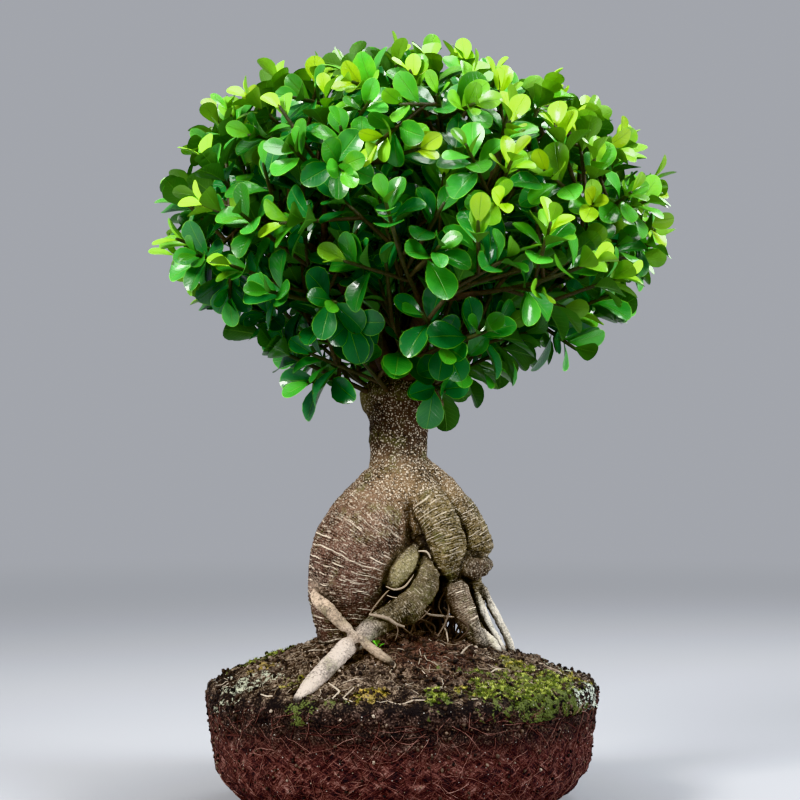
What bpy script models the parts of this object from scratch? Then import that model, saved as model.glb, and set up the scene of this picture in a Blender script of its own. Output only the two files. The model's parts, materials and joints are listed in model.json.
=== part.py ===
"""Ginseng ficus on its bare soil ball: a swollen root-trunk with aerial roots, limbs and a leafy crown.

Metres, +Z up. The origin is the centre of the soil ball's flat underside, and -Y is the front.
The wood is one grown piece. Each leafy spray goes on from one stub of the wood, and some sprays
end in a tip of young, brighter leaves. Every piece keeps a hair's gap to the piece that carries it.
"""

import math
import random
from dataclasses import dataclass

import bmesh
import bpy
from mathutils import Matrix, Vector
from mathutils.bvhtree import BVHTree

GAP = 0.0003
UP = Vector((0, 0, 1))
GOLDEN_ANGLE = math.pi * (3 - math.sqrt(5))
SHARP_ANGLE = math.radians(40)

# Soil ball: a flat foot, a round lower corner, a nearly upright wall and a mounded top.
FOOT_RADIUS = 0.088
CORNER_WIDTH = 0.054
CORNER_HEIGHT = 0.046
RIM_RADIUS = 0.1465
RIM_HEIGHT = 0.082
SHOULDER_WIDTH = 0.008
SHOULDER_TOP = 0.094
MOUND_RISE = 0.038
MOUND_REACH = 0.140
MOUND_POWER = 0.6
BALL_SECTORS = 36
BALL_WAVE = 0.0014

# Root-trunk: each swollen root is a path of (x, y, z, radius), from the neck down.
NECK = ((0.000, 0, 0.212, 0.0190), (-0.001, 0, 0.230, 0.0300), (-0.001, 0, 0.243, 0.0260),
        (-0.001, 0, 0.260, 0.0220), (-0.001, 0, 0.284, 0.0215), (0.000, 0, 0.299, 0.0250),
        (0.002, 0, 0.312, 0.0275), (0.003, 0, 0.325, 0.0190))
LEFT_BULB = ((0.002, 0.001, 0.254, 0.0170), (-0.010, -0.002, 0.234, 0.0250),
             (-0.020, -0.006, 0.211, 0.0350), (-0.028, -0.008, 0.186, 0.0395),
             (-0.035, -0.008, 0.159, 0.0340), (-0.037, -0.006, 0.135, 0.0270),
             (-0.0375, -0.004, 0.113, 0.0210))
FRONT_FOLD = ((0.003, -0.004, 0.250, 0.0150), (0.018, -0.014, 0.229, 0.0170),
              (0.030, -0.022, 0.209, 0.0155), (0.0345, -0.0245, 0.192, 0.0145),
              (0.0365, -0.023, 0.179, 0.0100))
LOWER_LOBE = ((0.034, -0.020, 0.186, 0.0095), (0.046, -0.020, 0.1815, 0.0094),
              (0.0575, -0.013, 0.1805, 0.0100), (0.062, -0.002, 0.183, 0.0088))
OUTER_FOLD = ((0.008, 0.001, 0.252, 0.0155), (0.030, 0.000, 0.229, 0.0180),
              (0.046, -0.002, 0.206, 0.0200), (0.0525, -0.002, 0.190, 0.0168),
              (0.0525, 0.001, 0.172, 0.0095), (0.055, 0.002, 0.153, 0.0070))
REAR_BULB = ((0.004, 0.006, 0.254, 0.0170), (0.007, 0.022, 0.228, 0.0250),
             (0.008, 0.033, 0.200, 0.0290), (0.006, 0.036, 0.172, 0.0270),
             (0.003, 0.037, 0.146, 0.0220), (0.001, 0.036, 0.114, 0.0160))
HEART_ROOT = ((0.002, 0.002, 0.246, 0.0205), (0.004, -0.002, 0.226, 0.0215),
              (0.009, -0.008, 0.206, 0.0195), (0.009, 0.000, 0.184, 0.0175),
              (0.016, 0.006, 0.150, 0.0180), (0.018, 0.008, 0.116, 0.0200))
NUB_ROOT = ((0.012, -0.021, 0.196, 0.0085), (0.006, -0.029, 0.188, 0.0102),
            (-0.001, -0.0355, 0.1775, 0.0102), (-0.0055, -0.0375, 0.1680, 0.0068))
PROP_ROOT = ((0.014, -0.012, 0.196, 0.0100), (0.019, -0.026, 0.181, 0.0104),
             (0.016, -0.034, 0.165, 0.0113), (0.005, -0.041, 0.1525, 0.0112),
             (-0.009, -0.048, 0.1445, 0.0092), (-0.023, -0.057, 0.1365, 0.0078),
             (-0.037, -0.069, 0.1270, 0.0074), (-0.053, -0.092, 0.1125, 0.0069),
             (-0.064, -0.109, 0.1015, 0.0062), (-0.070, -0.118, 0.0945, 0.0052),
             (-0.0712, -0.1195, 0.0850, 0.0042))
STRAP_ROOT = ((-0.060, -0.022, 0.168, 0.0050), (-0.0595, -0.032, 0.158, 0.0060),
              (-0.051, -0.046, 0.1495, 0.0054), (-0.038, -0.064, 0.1385, 0.0043),
              (-0.022, -0.075, 0.1270, 0.0036), (-0.006, -0.079, 0.1150, 0.0031),
              (0.001, -0.080, 0.1040, 0.0028))
RIGHT_LEG = ((0.036, -0.012, 0.180, 0.0095), (0.040, -0.018, 0.165, 0.0106),
             (0.048, -0.020, 0.147, 0.0092), (0.0585, -0.018, 0.128, 0.0082),
             (0.065, -0.016, 0.107, 0.0064))
LEG_TOE_FRONT = ((0.052, -0.018, 0.144, 0.0050), (0.062, -0.019, 0.132, 0.0046),
                 (0.0715, -0.019, 0.118, 0.0042), (0.0755, -0.019, 0.104, 0.0036))
LEG_TOE_MIDDLE = ((0.054, -0.002, 0.164, 0.0050), (0.064, -0.006, 0.140, 0.0038),
                  (0.075, -0.008, 0.120, 0.0036), (0.080, -0.008, 0.104, 0.0030))
LEG_TOE_OUTER = ((0.055, 0.002, 0.172, 0.0046), (0.068, 0.004, 0.150, 0.0036),
                 (0.080, 0.005, 0.127, 0.0034), (0.087, 0.006, 0.104, 0.0030))
REAR_LEG = ((0.050, 0.008, 0.176, 0.0100), (0.056, 0.018, 0.152, 0.0082),
            (0.061, 0.027, 0.128, 0.0074), (0.065, 0.033, 0.106, 0.0060))
REAR_STRAP = ((-0.036, 0.018, 0.178, 0.0070), (-0.041, 0.033, 0.158, 0.0066),
              (-0.047, 0.051, 0.134, 0.0056), (-0.052, 0.065, 0.110, 0.0046),
              (-0.054, 0.070, 0.098, 0.0036))
LEFT_KNOB = ((-0.009, 0.000, 0.292, 0.0125), (-0.019, -0.002, 0.301, 0.0100),
             (-0.024, -0.003, 0.311, 0.0070))
RIGHT_KNOB = ((0.010, -0.002, 0.291, 0.0130), (0.022, -0.004, 0.299, 0.0092),
              (0.0295, -0.004, 0.304, 0.0060))
SWOLLEN_ROOTS = (LEFT_BULB, FRONT_FOLD, LOWER_LOBE, OUTER_FOLD, REAR_BULB, HEART_ROOT,
                 NUB_ROOT)
ROUND_ROOTS = (PROP_ROOT, STRAP_ROOT, RIGHT_LEG, LEG_TOE_FRONT, LEG_TOE_MIDDLE, LEG_TOE_OUTER,
               REAR_LEG, REAR_STRAP, LEFT_KNOB, RIGHT_KNOB)
SWOLLEN_SIDES = 12
ROUND_SIDES = 6

# Crown: the leaf tips reach a squarish ellipsoid round this centre.
CROWN_CENTRE = Vector((0.011, 0, 0.428))
CROWN_HALF_X = 0.200
CROWN_HALF_Y = 0.180
CROWN_UP = 0.150
CROWN_DOWN = 0.124
CROWN_SQUARENESS = 2.3
LEAF_REACH = 0.022

# Limbs fan out from the top of the neck, and the sprays branch off along them.
LIMB_ROOT = Vector((0.002, 0, 0.306))
LIMB_COUNT = 8
LIMB_LOWEST_COSINE = 0.02
LIMB_SHARE = 0.50
LIMB_RISE = 0.012
LIMB_RADIUS = 0.0085
LIMB_TIP_RADIUS = 0.0040
LIMB_SIDES = 6
STUB_RADIUS = 0.0030
STUB_TIP_RADIUS = 0.0021
SHORTEST_STUB = 0.010
NECK_FORK = Vector((0.001, 0, 0.299))
NECK_STUB = 0.033
LOW_ANGLE = math.radians(38)

# Sprays: a bent stem with side twigs, each ending in a rosette of leaves.
UPPER_SPRAYS = 26
SPRAY_LOWEST_COSINE = -0.70
SKIRT_TURNS = (-122, -62, 50, 150)
SKIRT_COSINE = -0.80
SPRAY_COUNT = UPPER_SPRAYS + len(SKIRT_TURNS)
SPRAY_LENGTH = 0.080
STEM_SHARE = 0.50
STEM_LIFT = 0.55
STEM_SWAY = 0.09
STEM_TRIES = 31
TWIG_RADIUS = 0.0018
TWIG_TIP_RADIUS = 0.0014
TWIG_SIDES = 4
TWIG_SPREAD = math.radians(48)
TWIG_LIFT = 0.2
TWIG_STARTS = (0.35, 0.70)
TWIG_TRIES = 9
LONGEST_TWIG = 0.052
SHORTEST_TWIG = 0.022
TWIG_STEP = 0.003

# Leaves: obovate blades on a 137.5 degree spiral, the oldest lowest on the twig.
ROSETTE_SIZE = 7
GROWN_LEAVES = (0, 2, 4)
YOUNG_LEAVES = (5, 6)
LEAF_SPACING = 0.0033
LEAF_DROP = 0.5
LEAF_LENGTH = 0.0375
YOUNG_LENGTH_SHARE = 0.72
LEAF_WIDTH_SHARE = 0.70
LEAF_THICKNESS = 0.0007
OLD_SPREAD = math.radians(68)
YOUNG_SPREAD = math.radians(26)
OLD_ARCH = math.radians(30)
YOUNG_ARCH = math.radians(8)
LIGHT_ROLL = 0.45
MOST_ROLL = math.radians(30)
BLADE_STATIONS = ((0.0, 0.075), (0.42, 0.80), (0.74, 1.0), (1.0, 0.40))
CLEARANCE = 0.0004
BEND_TRIES = 7
BEND_STEP = math.radians(8)
TURN_STEP = math.radians(13)

# Young tips: a short bud that goes on from the end of a spray's stem.
BUD_LENGTH = 0.0065
BUD_RADIUS = 0.0014
YOUNG_TIP_LOWEST = 0.415
YOUNG_TIP_EVERY = 2

BARK = ("bark", (0.30, 0.22, 0.16), 0.85)
SOIL = ("soil", (0.085, 0.050, 0.040), 0.95)
LEAF = ("leaf", (0.045, 0.21, 0.035), 0.35)
YOUNG_LEAF = ("young_leaf", (0.30, 0.56, 0.045), 0.40)


@dataclass(frozen=True)
class Leaf:
    """One blade: where it starts on the twig, its direction, its width direction and its shape."""

    base: Vector
    along: Vector
    across: Vector
    length: float
    arch: float

    def centre(self, share):
        """The point on the midrib at a share of the length: an arc that bends away from the light."""
        face = self.across.cross(self.along)
        turn = self.arch * share
        if turn < 1e-6:
            return self.base + self.along * self.length * share
        radius = self.length / self.arch
        return self.base + radius * (math.sin(turn) * self.along - (1 - math.cos(turn)) * face)

    def face(self, share):
        """The blade's upward normal at a share of the length."""
        turn = self.arch * share
        face = self.across.cross(self.along)
        return math.cos(turn) * face + math.sin(turn) * self.along


@dataclass
class Twig:
    """A leafy twig of a spray: its path, and the point and direction of its tip."""

    spray: int
    number: int
    path: list
    radii: list

    @property
    def tip(self):
        """The end of the twig."""
        return self.path[-1]

    @property
    def direction(self):
        """The direction in which the twig ends."""
        return (self.path[-1] - self.path[-2]).normalized()


def material(name, colour, roughness):
    """A Principled material of one colour."""
    made = bpy.data.materials.new(name)
    made.use_nodes = True
    shader = made.node_tree.nodes["Principled BSDF"]
    shader.inputs["Base Color"].default_value = (*colour, 1)
    shader.inputs["Roughness"].default_value = roughness
    made.diffuse_color = (*colour, 1)
    return made


def perpendicular(direction):
    """A steady unit vector square to a direction."""
    helper = Vector((1, 0, 0)) if abs(direction.z) > 0.7 else UP
    return direction.cross(helper).normalized()


def tube_shape(points, radii, sides, grow=0.0):
    """Vertices and faces of a closed tube with flat ends along a path, grown outwards by `grow`."""
    points = [Vector(p) for p in points]
    steps = [(b - a).normalized() for a, b in zip(points, points[1:])]
    points[0] = points[0] - steps[0] * grow
    points[-1] = points[-1] + steps[-1] * grow
    across = perpendicular(steps[0])
    vertices = []
    for index, (point, radius) in enumerate(zip(points, radii)):
        before, after = steps[max(index - 1, 0)], steps[min(index, len(steps) - 1)]
        normal = (before + after).normalized()
        across = (across - normal * across.dot(normal)).normalized()
        other = normal.cross(across)
        for side in range(sides):
            turn = 2 * math.pi * side / sides
            reach = math.cos(turn) * across + math.sin(turn) * other
            vertices.append(point + reach * (radius + grow))
    faces = []
    for ring in range(len(points) - 1):
        for side in range(sides):
            low, high = ring * sides, (ring + 1) * sides
            following = (side + 1) % sides
            faces.append((low + side, low + following, high + following, high + side))
    last = (len(points) - 1) * sides
    faces.append(tuple(reversed(range(sides))))
    faces.append(tuple(range(last, last + sides)))
    return vertices, faces


def root_shape(root, sides, grow=0.0):
    """The tube of one root, given as (x, y, z, radius) down its path."""
    return tube_shape([p[:3] for p in root], [p[3] for p in root], sides, grow)


def blade_shape(leaf, grow=0.0):
    """Vertices and faces of a leaf's blade: flat across, arched along, with its edges cut square."""
    vertices = []
    for share, width_share in BLADE_STATIONS:
        half_width = leaf.length * LEAF_WIDTH_SHARE * width_share / 2 + grow
        half_thickness = LEAF_THICKNESS / 2 + grow
        centre, face = leaf.centre(share), leaf.face(share)
        for side, layer in ((1, 1), (-1, 1), (-1, -1), (1, -1)):
            vertices.append(centre + leaf.across * half_width * side + face * half_thickness * layer)
    faces = [(3, 2, 1, 0)]
    for station in range(len(BLADE_STATIONS) - 1):
        low, high = 4 * station, 4 * station + 4
        for corner in range(4):
            following = (corner + 1) % 4
            faces.append((low + corner, low + following, high + following, high + corner))
    faces.append((high, high + 1, high + 2, high + 3))
    return vertices, faces


def tree_of(shape):
    """A search tree over a shape's faces."""
    return BVHTree.FromPolygons(*shape, epsilon=0.0)


class Thicket:
    """Everything placed so far, to keep each new twig and blade clear of it."""

    def __init__(self):
        self.entries = []

    def add(self, owner, shape):
        """Adds a shape that belongs to an owner, such as a twig."""
        vertices = shape[0]
        centre = sum(vertices, Vector()) / len(vertices)
        reach = max((v - centre).length for v in vertices)
        self.entries.append((owner, centre, reach, tree_of(shape)))

    def crosses(self, shape, own=()):
        """Whether a shape crosses anything that isn't one of its own carriers."""
        vertices = shape[0]
        centre = sum(vertices, Vector()) / len(vertices)
        reach = max((v - centre).length for v in vertices)
        tree = tree_of(shape)
        for owner, other, other_reach, other_tree in self.entries:
            if owner in own or (other - centre).length > reach + other_reach:
                continue
            if tree.overlap(other_tree):
                return True
        return False


def crown_value(point, margin=0.0):
    """Under 1 inside the crown's outline less a margin, and over 1 outside it."""
    offset = point - CROWN_CENTRE
    height = CROWN_UP if offset.z > 0 else CROWN_DOWN
    halves = (CROWN_HALF_X - margin, CROWN_HALF_Y - margin, height - margin)
    return sum(abs(c / half) ** CROWN_SQUARENESS for c, half in zip(offset, halves))


def crown_point(direction, margin=0.0):
    """The point of the crown's outline, less a margin, along a direction from its centre."""
    reach = crown_value(CROWN_CENTRE + direction, margin) ** (-1 / CROWN_SQUARENESS)
    return CROWN_CENTRE + direction * reach


def spread_direction(index, count, lowest_cosine, turn=0.0):
    """One of `count` even directions over a sphere's cap that reaches down to a polar cosine."""
    cosine = 1 - (1 - lowest_cosine) * (index + 0.5) / count
    sine = math.sqrt(1 - cosine * cosine)
    angle = index * GOLDEN_ANGLE + turn
    return Vector((sine * math.cos(angle), sine * math.sin(angle), cosine))


def spray_direction(spray, sway):
    """The direction of a spray from the crown's centre: spread evenly, then a skirt round the neck."""
    if spray < UPPER_SPRAYS:
        return spread_direction(spray, UPPER_SPRAYS, SPRAY_LOWEST_COSINE, sway)
    turn = math.radians(SKIRT_TURNS[spray - UPPER_SPRAYS]) + sway
    sine = math.sqrt(1 - SKIRT_COSINE ** 2)
    return Vector((sine * math.cos(turn), sine * math.sin(turn), SKIRT_COSINE))


def limb_point(end, share):
    """A point on a limb that rises in an arc from the neck to its end."""
    bend = (LIMB_ROOT + end) / 2 + UP * LIMB_RISE
    first, second = LIMB_ROOT.lerp(bend, share), bend.lerp(end, share)
    return first.lerp(second, share)


def limb_ends():
    """The outer ends of the limbs."""
    ends = []
    for index in range(LIMB_COUNT):
        outline = crown_point(spread_direction(index, LIMB_COUNT, LIMB_LOWEST_COSINE, 0.6))
        ends.append(LIMB_ROOT.lerp(outline, LIMB_SHARE))
    return ends


def stem_of(spray, ends, attempt):
    """A spray's stem, and the point of the wood that its stub leaves: (fork, Twig)."""
    sway = (-1) ** attempt * ((attempt + 1) // 2) * STEM_SWAY
    aim = crown_point(spray_direction(spray, sway), LEAF_REACH)
    end = min(ends, key=lambda e: (aim - LIMB_ROOT).angle(e - LIMB_ROOT))
    if spray >= UPPER_SPRAYS or (aim - LIMB_ROOT).angle(end - LIMB_ROOT) > LOW_ANGLE:
        fork, stub = NECK_FORK, NECK_STUB
    else:
        points = [limb_point(end, 1 - step / 12) for step in range(11)]
        far = SPRAY_LENGTH + SHORTEST_STUB
        fork = next((p for p in points if (aim - p).length > far), points[-1])
        stub = SHORTEST_STUB
    heading = (aim - fork).normalized()
    start = aim - heading * min(SPRAY_LENGTH, (aim - fork).length - stub)
    bend = start.lerp(aim, STEM_SHARE)
    lift = STEM_LIFT * max(0.0, min(1.0, (aim.z - CROWN_CENTRE.z) / CROWN_DOWN + 0.6))
    rising = Vector((heading.x, heading.y, max(heading.z, 0) + lift)).normalized()
    tip = reached(bend, rising, (aim - bend).length * 1.15)
    radii = [TWIG_RADIUS + 0.0002, TWIG_RADIUS, TWIG_TIP_RADIUS]
    return fork, Twig(spray, 0, [start + heading * GAP, bend, tip], radii)


def reached(start, heading, longest):
    """The end of a twig that stops where its leaves reach the crown's outline."""
    length = longest
    while length > SHORTEST_TWIG and crown_value(start + heading * length, LEAF_REACH) > 1:
        length -= TWIG_STEP
    return start + heading * length


def side_twig(stem, number, start_share, turn):
    """A side twig of a spray, leaving the stem at a share of the way to its bend."""
    heading = (stem.path[1] - stem.path[0]).normalized()
    across = perpendicular(heading)
    outward = math.cos(turn) * across + math.sin(turn) * heading.cross(across)
    start = stem.path[0].lerp(stem.path[1], start_share)
    away = math.cos(TWIG_SPREAD) * heading + math.sin(TWIG_SPREAD) * outward + UP * TWIG_LIFT
    tip = reached(start, away.normalized(), LONGEST_TWIG)
    return Twig(stem.spray, number, [start, tip], [TWIG_RADIUS * 0.9, TWIG_TIP_RADIUS])


def leaf_of(twig, index, draw, attempt):
    """Leaf `index` of a twig's rosette. Later attempts are turned and bent clear of their neighbours."""
    age = 1 - index / (ROSETTE_SIZE - 1)
    start = twig.tip - twig.direction * LEAF_SPACING * (YOUNG_LEAVES[0] + LEAF_DROP - index)
    if index in YOUNG_LEAVES:
        start = twig.tip + twig.direction * BUD_LENGTH * (0.3 if index == YOUNG_LEAVES[0] else 0.8)
    sway = (-1) ** attempt * ((attempt + 1) // 2)
    turn = index * GOLDEN_ANGLE + twig.number * 1.3 + draw.uniform(-0.2, 0.2) + sway * TURN_STEP
    spread = YOUNG_SPREAD + (OLD_SPREAD - YOUNG_SPREAD) * age + draw.uniform(-0.12, 0.12)
    spread -= BEND_STEP * (attempt // 2)
    across = perpendicular(twig.direction)
    radial = math.cos(turn) * across + math.sin(turn) * twig.direction.cross(across)
    along = math.cos(spread) * twig.direction + math.sin(spread) * radial
    width = radial.cross(twig.direction)
    roll = light_roll(start, along, width)
    width = Matrix.Rotation(roll, 3, along) @ width
    size = 1 - (1 - YOUNG_LENGTH_SHARE) * (1 - age) + draw.uniform(-0.10, 0.08)
    arch = YOUNG_ARCH + (OLD_ARCH - YOUNG_ARCH) * age + draw.uniform(-0.08, 0.08)
    return Leaf(start, along, width, LEAF_LENGTH * size, arch)


def light_roll(start, along, width):
    """How far a blade rolls on its midrib to face the light above and outside the crown."""
    outward = start - CROWN_CENTRE
    light = Vector((outward.x, outward.y, 0)).normalized() * 0.6 + UP * 0.8
    light -= along * light.dot(along)
    face = width.cross(along)
    wanted = math.atan2(face.cross(light).dot(along), face.dot(light))
    return max(-MOST_ROLL, min(MOST_ROLL, wanted * LIGHT_ROLL))


def place_leaves(twig, indices, own, thicket):
    """The leaves of a rosette that can be placed clear of everything but their own carrier."""
    placed = []
    for index in indices:
        for attempt in range(BEND_TRIES):
            draw = random.Random(10000 * twig.spray + 100 * twig.number + index)
            leaf = leaf_of(twig, index, draw, attempt)
            if not thicket.crosses(blade_shape(leaf, CLEARANCE), (own,)):
                thicket.add("leaf", blade_shape(leaf))
                placed.append(leaf)
                break
    return placed


def mesh_object(name, shape):
    """An object from vertices and faces, with its faces turned outwards."""
    mesh = bpy.data.meshes.new(name)
    mesh.from_pydata(shape[0], [], shape[1])
    form = bmesh.new()
    form.from_mesh(mesh)
    bmesh.ops.recalc_face_normals(form, faces=form.faces)
    form.to_mesh(mesh)
    form.free()
    made = bpy.data.objects.new(name, mesh)
    bpy.context.scene.collection.objects.link(made)
    return made


def solved(target, operation, solver, others):
    """Applies one Boolean between an object and the collection of the other shapes, then drops these."""
    group = bpy.data.collections.new("operands")
    bpy.context.scene.collection.children.link(group)
    for number, shape in enumerate(others):
        piece = mesh_object(f"operand_{number}", shape)
        bpy.context.scene.collection.objects.unlink(piece)
        group.objects.link(piece)
    step = target.modifiers.new("Operands", "BOOLEAN")
    step.operation = operation
    step.operand_type = "COLLECTION"
    step.collection = group
    step.solver = solver
    bpy.context.view_layer.update()
    graph = bpy.context.evaluated_depsgraph_get()
    mesh = bpy.data.meshes.new_from_object(target.evaluated_get(graph))
    target.modifiers.clear()
    target.data = mesh
    for piece in list(group.objects):
        bpy.data.objects.remove(piece)
    bpy.data.collections.remove(group)
    return target


def fill_hollows(made):
    """Fills the closed hollows that the roots leave between them, so the wood is solid inside."""
    form = bmesh.new()
    form.from_mesh(made.data)
    waiting = set(form.verts)
    while waiting:
        start = waiting.pop()
        island, edge = {start}, [start]
        while edge:
            for link in edge.pop().link_edges:
                for vertex in link.verts:
                    if vertex in waiting:
                        waiting.discard(vertex)
                        island.add(vertex)
                        edge.append(vertex)
        faces = {face for vertex in island for face in vertex.link_faces}
        volume = sum(a.co.dot(b.co.cross(c.co)) for face in faces
                     for a, b, c in fan(face.verts))
        if volume < 0:
            bmesh.ops.delete(form, geom=list(island), context="VERTS")
    form.to_mesh(made.data)
    form.free()


def fan(corners):
    """The triangles of a face, as a fan from its first corner."""
    return [(corners[0], corners[i], corners[i + 1]) for i in range(1, len(corners) - 1)]


def finished(made, finish):
    """The object in one material, with its round faces shaded smooth."""
    made.data.materials.clear()
    made.data.materials.append(finish)
    made.data.shade_smooth()
    made.data.set_sharp_from_angle(angle=SHARP_ANGLE)
    return made


def fused(name, shapes, finish):
    """One object from shapes that run into each other."""
    made = solved(mesh_object(name, shapes[0]), "UNION", "EXACT", shapes[1:])
    fill_hollows(made)
    return finished(made, finish)


def ball_profile():
    """(radius, height) down the soil ball's outline, from the mound's middle to the foot."""
    points = []
    for step in range(1, 7):
        radius = MOUND_REACH * step / 6.2
        fall = 0.5 + 0.5 * math.cos(math.pi * radius / MOUND_REACH)
        points.append((radius, SHOULDER_TOP + MOUND_RISE * fall ** MOUND_POWER))
    shoulder_height = SHOULDER_TOP - RIM_HEIGHT
    for turn in (0.35, 0.70, 1.0):
        angle = turn * math.pi / 2
        radius = RIM_RADIUS - SHOULDER_WIDTH * (1 - math.sin(angle))
        points.append((radius, RIM_HEIGHT + shoulder_height * math.cos(angle)))
    for turn in (0.0, 0.3, 0.6, 0.85, 1.0):
        angle = turn * math.pi / 2
        radius = FOOT_RADIUS + CORNER_WIDTH * math.cos(angle)
        points.append((radius, CORNER_HEIGHT * (1 - math.sin(angle))))
    return points


def ball_shape():
    """Vertices and faces of the soil ball, turned about Z and slightly uneven round its wall."""
    top = SHOULDER_TOP + MOUND_RISE
    vertices = [Vector((0, 0, top))]
    profile = ball_profile()
    for radius, height in profile:
        for sector in range(BALL_SECTORS):
            angle = 2 * math.pi * sector / BALL_SECTORS
            wave = math.sin(3 * angle + 0.8) + 0.6 * math.sin(7 * angle + 25 * height)
            uneven = radius + BALL_WAVE * wave * radius / RIM_RADIUS
            vertices.append(Vector((uneven * math.cos(angle), uneven * math.sin(angle), height)))
    faces = []
    for ring in range(len(profile)):
        low = 1 + (ring - 1) * BALL_SECTORS
        for sector in range(BALL_SECTORS):
            following = (sector + 1) % BALL_SECTORS
            high, high_next = 1 + ring * BALL_SECTORS + sector, 1 + ring * BALL_SECTORS + following
            if ring == 0:
                faces.append((0, high, high_next))
            else:
                faces.append((low + sector, high, high_next, low + following))
    foot = 1 + (len(profile) - 1) * BALL_SECTORS
    faces.append(tuple(range(foot, foot + BALL_SECTORS)))
    return vertices, faces


def root_shapes(grow=0.0):
    """Every root of the trunk, grown outwards by `grow`."""
    shapes = [root_shape(root, SWOLLEN_SIDES, grow) for root in SWOLLEN_ROOTS]
    return shapes + [root_shape(root, ROUND_SIDES, grow) for root in ROUND_ROOTS]


def make_soil_ball(finish):
    """The soil ball, with plain holes where the roots stand in it."""
    ball = mesh_object("soil_ball", ball_shape())
    solved(ball, "DIFFERENCE", "EXACT", root_shapes(grow=1.3 * GAP))
    return finished(ball, finish)


def limb_shape(end):
    """The tube of one limb, from the top of the neck to a little past its end."""
    path = [limb_point(end, share) for share in (0, 0.5, 1.06)]
    radii = [LIMB_RADIUS, (LIMB_RADIUS + LIMB_TIP_RADIUS) / 2, LIMB_TIP_RADIUS]
    return tube_shape(path, radii, LIMB_SIDES)


def stub_shape(fork, stem, grow=0.0):
    """The stub of wood that a spray's stem goes on from."""
    heading = (stem.path[1] - stem.path[0]).normalized()
    path = [fork, stem.path[0] - heading * GAP]
    return tube_shape(path, [STUB_RADIUS, STUB_TIP_RADIUS], TWIG_SIDES, grow)


def twig_shape(twig, grow=0.0):
    """The tube of a stem or a side twig."""
    return tube_shape(twig.path, twig.radii, TWIG_SIDES, grow)


def grow_stems(ends, wood, thicket):
    """Each spray's stem, clear of the wood and the other stems. Its stub joins the wood."""
    stems = []
    for spray in range(SPRAY_COUNT):
        for attempt in range(STEM_TRIES):
            fork, stem = stem_of(spray, ends, attempt)
            free = not thicket.crosses(twig_shape(stem, CLEARANCE))
            if free and not thicket.crosses(stub_shape(fork, stem, CLEARANCE), ("wood",)):
                break
        wood.append(stub_shape(fork, stem))
        thicket.add("wood", wood[-1])
        thicket.add((spray, 0), twig_shape(stem))
        stems.append(stem)
    return stems


def grow_side_twigs(stem, thicket):
    """The side twigs of a spray, each turned until it is clear of everything but its stem."""
    twigs = []
    for number, share in enumerate(TWIG_STARTS, start=1):
        for attempt in range(TWIG_TRIES):
            turn = stem.spray * 1.1 + number * math.pi * 0.95 + attempt * 0.7
            twig = side_twig(stem, number, share, turn)
            if not thicket.crosses(twig_shape(twig, TWIG_RADIUS), ((stem.spray, 0),)):
                thicket.add((stem.spray, number), twig_shape(twig))
                twigs.append(twig)
                break
    return twigs


def make_spray(number, twigs, thicket, finish):
    """One leafy spray: its stem and side twigs, with the grown leaves fused on."""
    shapes = [twig_shape(twig) for twig in twigs]
    for twig in twigs:
        leaves = place_leaves(twig, GROWN_LEAVES, (twig.spray, twig.number), thicket)
        shapes += [blade_shape(leaf) for leaf in leaves]
    return fused(f"leafy_spray_{number:02d}", shapes, finish)


def make_young_tip(number, stem, thicket, finish):
    """The bud and young leaves that go on from the end of a spray's stem."""
    base = stem.tip + stem.direction * GAP
    bud = tube_shape([base, base + stem.direction * BUD_LENGTH], [BUD_RADIUS, BUD_RADIUS * 0.7],
                     TWIG_SIDES)
    thicket.add(("bud", stem.spray), bud)
    leaves = place_leaves(stem, YOUNG_LEAVES, ("bud", stem.spray), thicket)
    shapes = [bud] + [blade_shape(leaf) for leaf in leaves]
    return fused(f"young_tip_{number:02d}", shapes, finish)


def has_young_tip(stem):
    """Whether a spray ends in a separate tip of young leaves."""
    return stem.spray % YOUNG_TIP_EVERY == 0 and stem.tip.z > YOUNG_TIP_LOWEST


def clear_scene():
    """Removes what the startup scene holds."""
    for old in list(bpy.data.objects):
        bpy.data.objects.remove(old)


def main():
    """Builds the soil ball, the wood and the crown."""
    clear_scene()
    bark, soil = material(*BARK), material(*SOIL)
    leaf, young_leaf = material(*LEAF), material(*YOUNG_LEAF)
    make_soil_ball(soil)
    wood = [root_shape(NECK, SWOLLEN_SIDES)] + root_shapes()
    ends = limb_ends()
    wood += [limb_shape(end) for end in ends]
    thicket = Thicket()
    for shape in wood:
        thicket.add("wood", shape)
    stems = grow_stems(ends, wood, thicket)
    fused("trunk_and_roots", wood, bark)
    side_twigs = [grow_side_twigs(stem, thicket) for stem in stems]
    for number, stem in enumerate(stems, start=1):
        if has_young_tip(stem):
            make_young_tip(number, stem, thicket, young_leaf)
    for number, (stem, twigs) in enumerate(zip(stems, side_twigs), start=1):
        make_spray(number, [stem] + twigs, thicket, leaf)


main()
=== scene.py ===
"""Looks of a ginseng ficus on its bare soil ball: bark, leaves, moss, roots and crumbs of soil.

Metres, +Z up, and -Y is the front. The sprays grow by the same rule as the frame's solids, so every
blade of the frame is there again as a finer leaf, and more twigs and leaves fill the crown.
"""

import json
import logging
import math
import random
from dataclasses import dataclass, field, replace
from enum import Enum
from typing import Any, Iterable, Sequence

import bmesh
import bpy
import numpy as np
from mathutils import Matrix, Vector, noise
from mathutils.bvhtree import BVHTree

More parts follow.
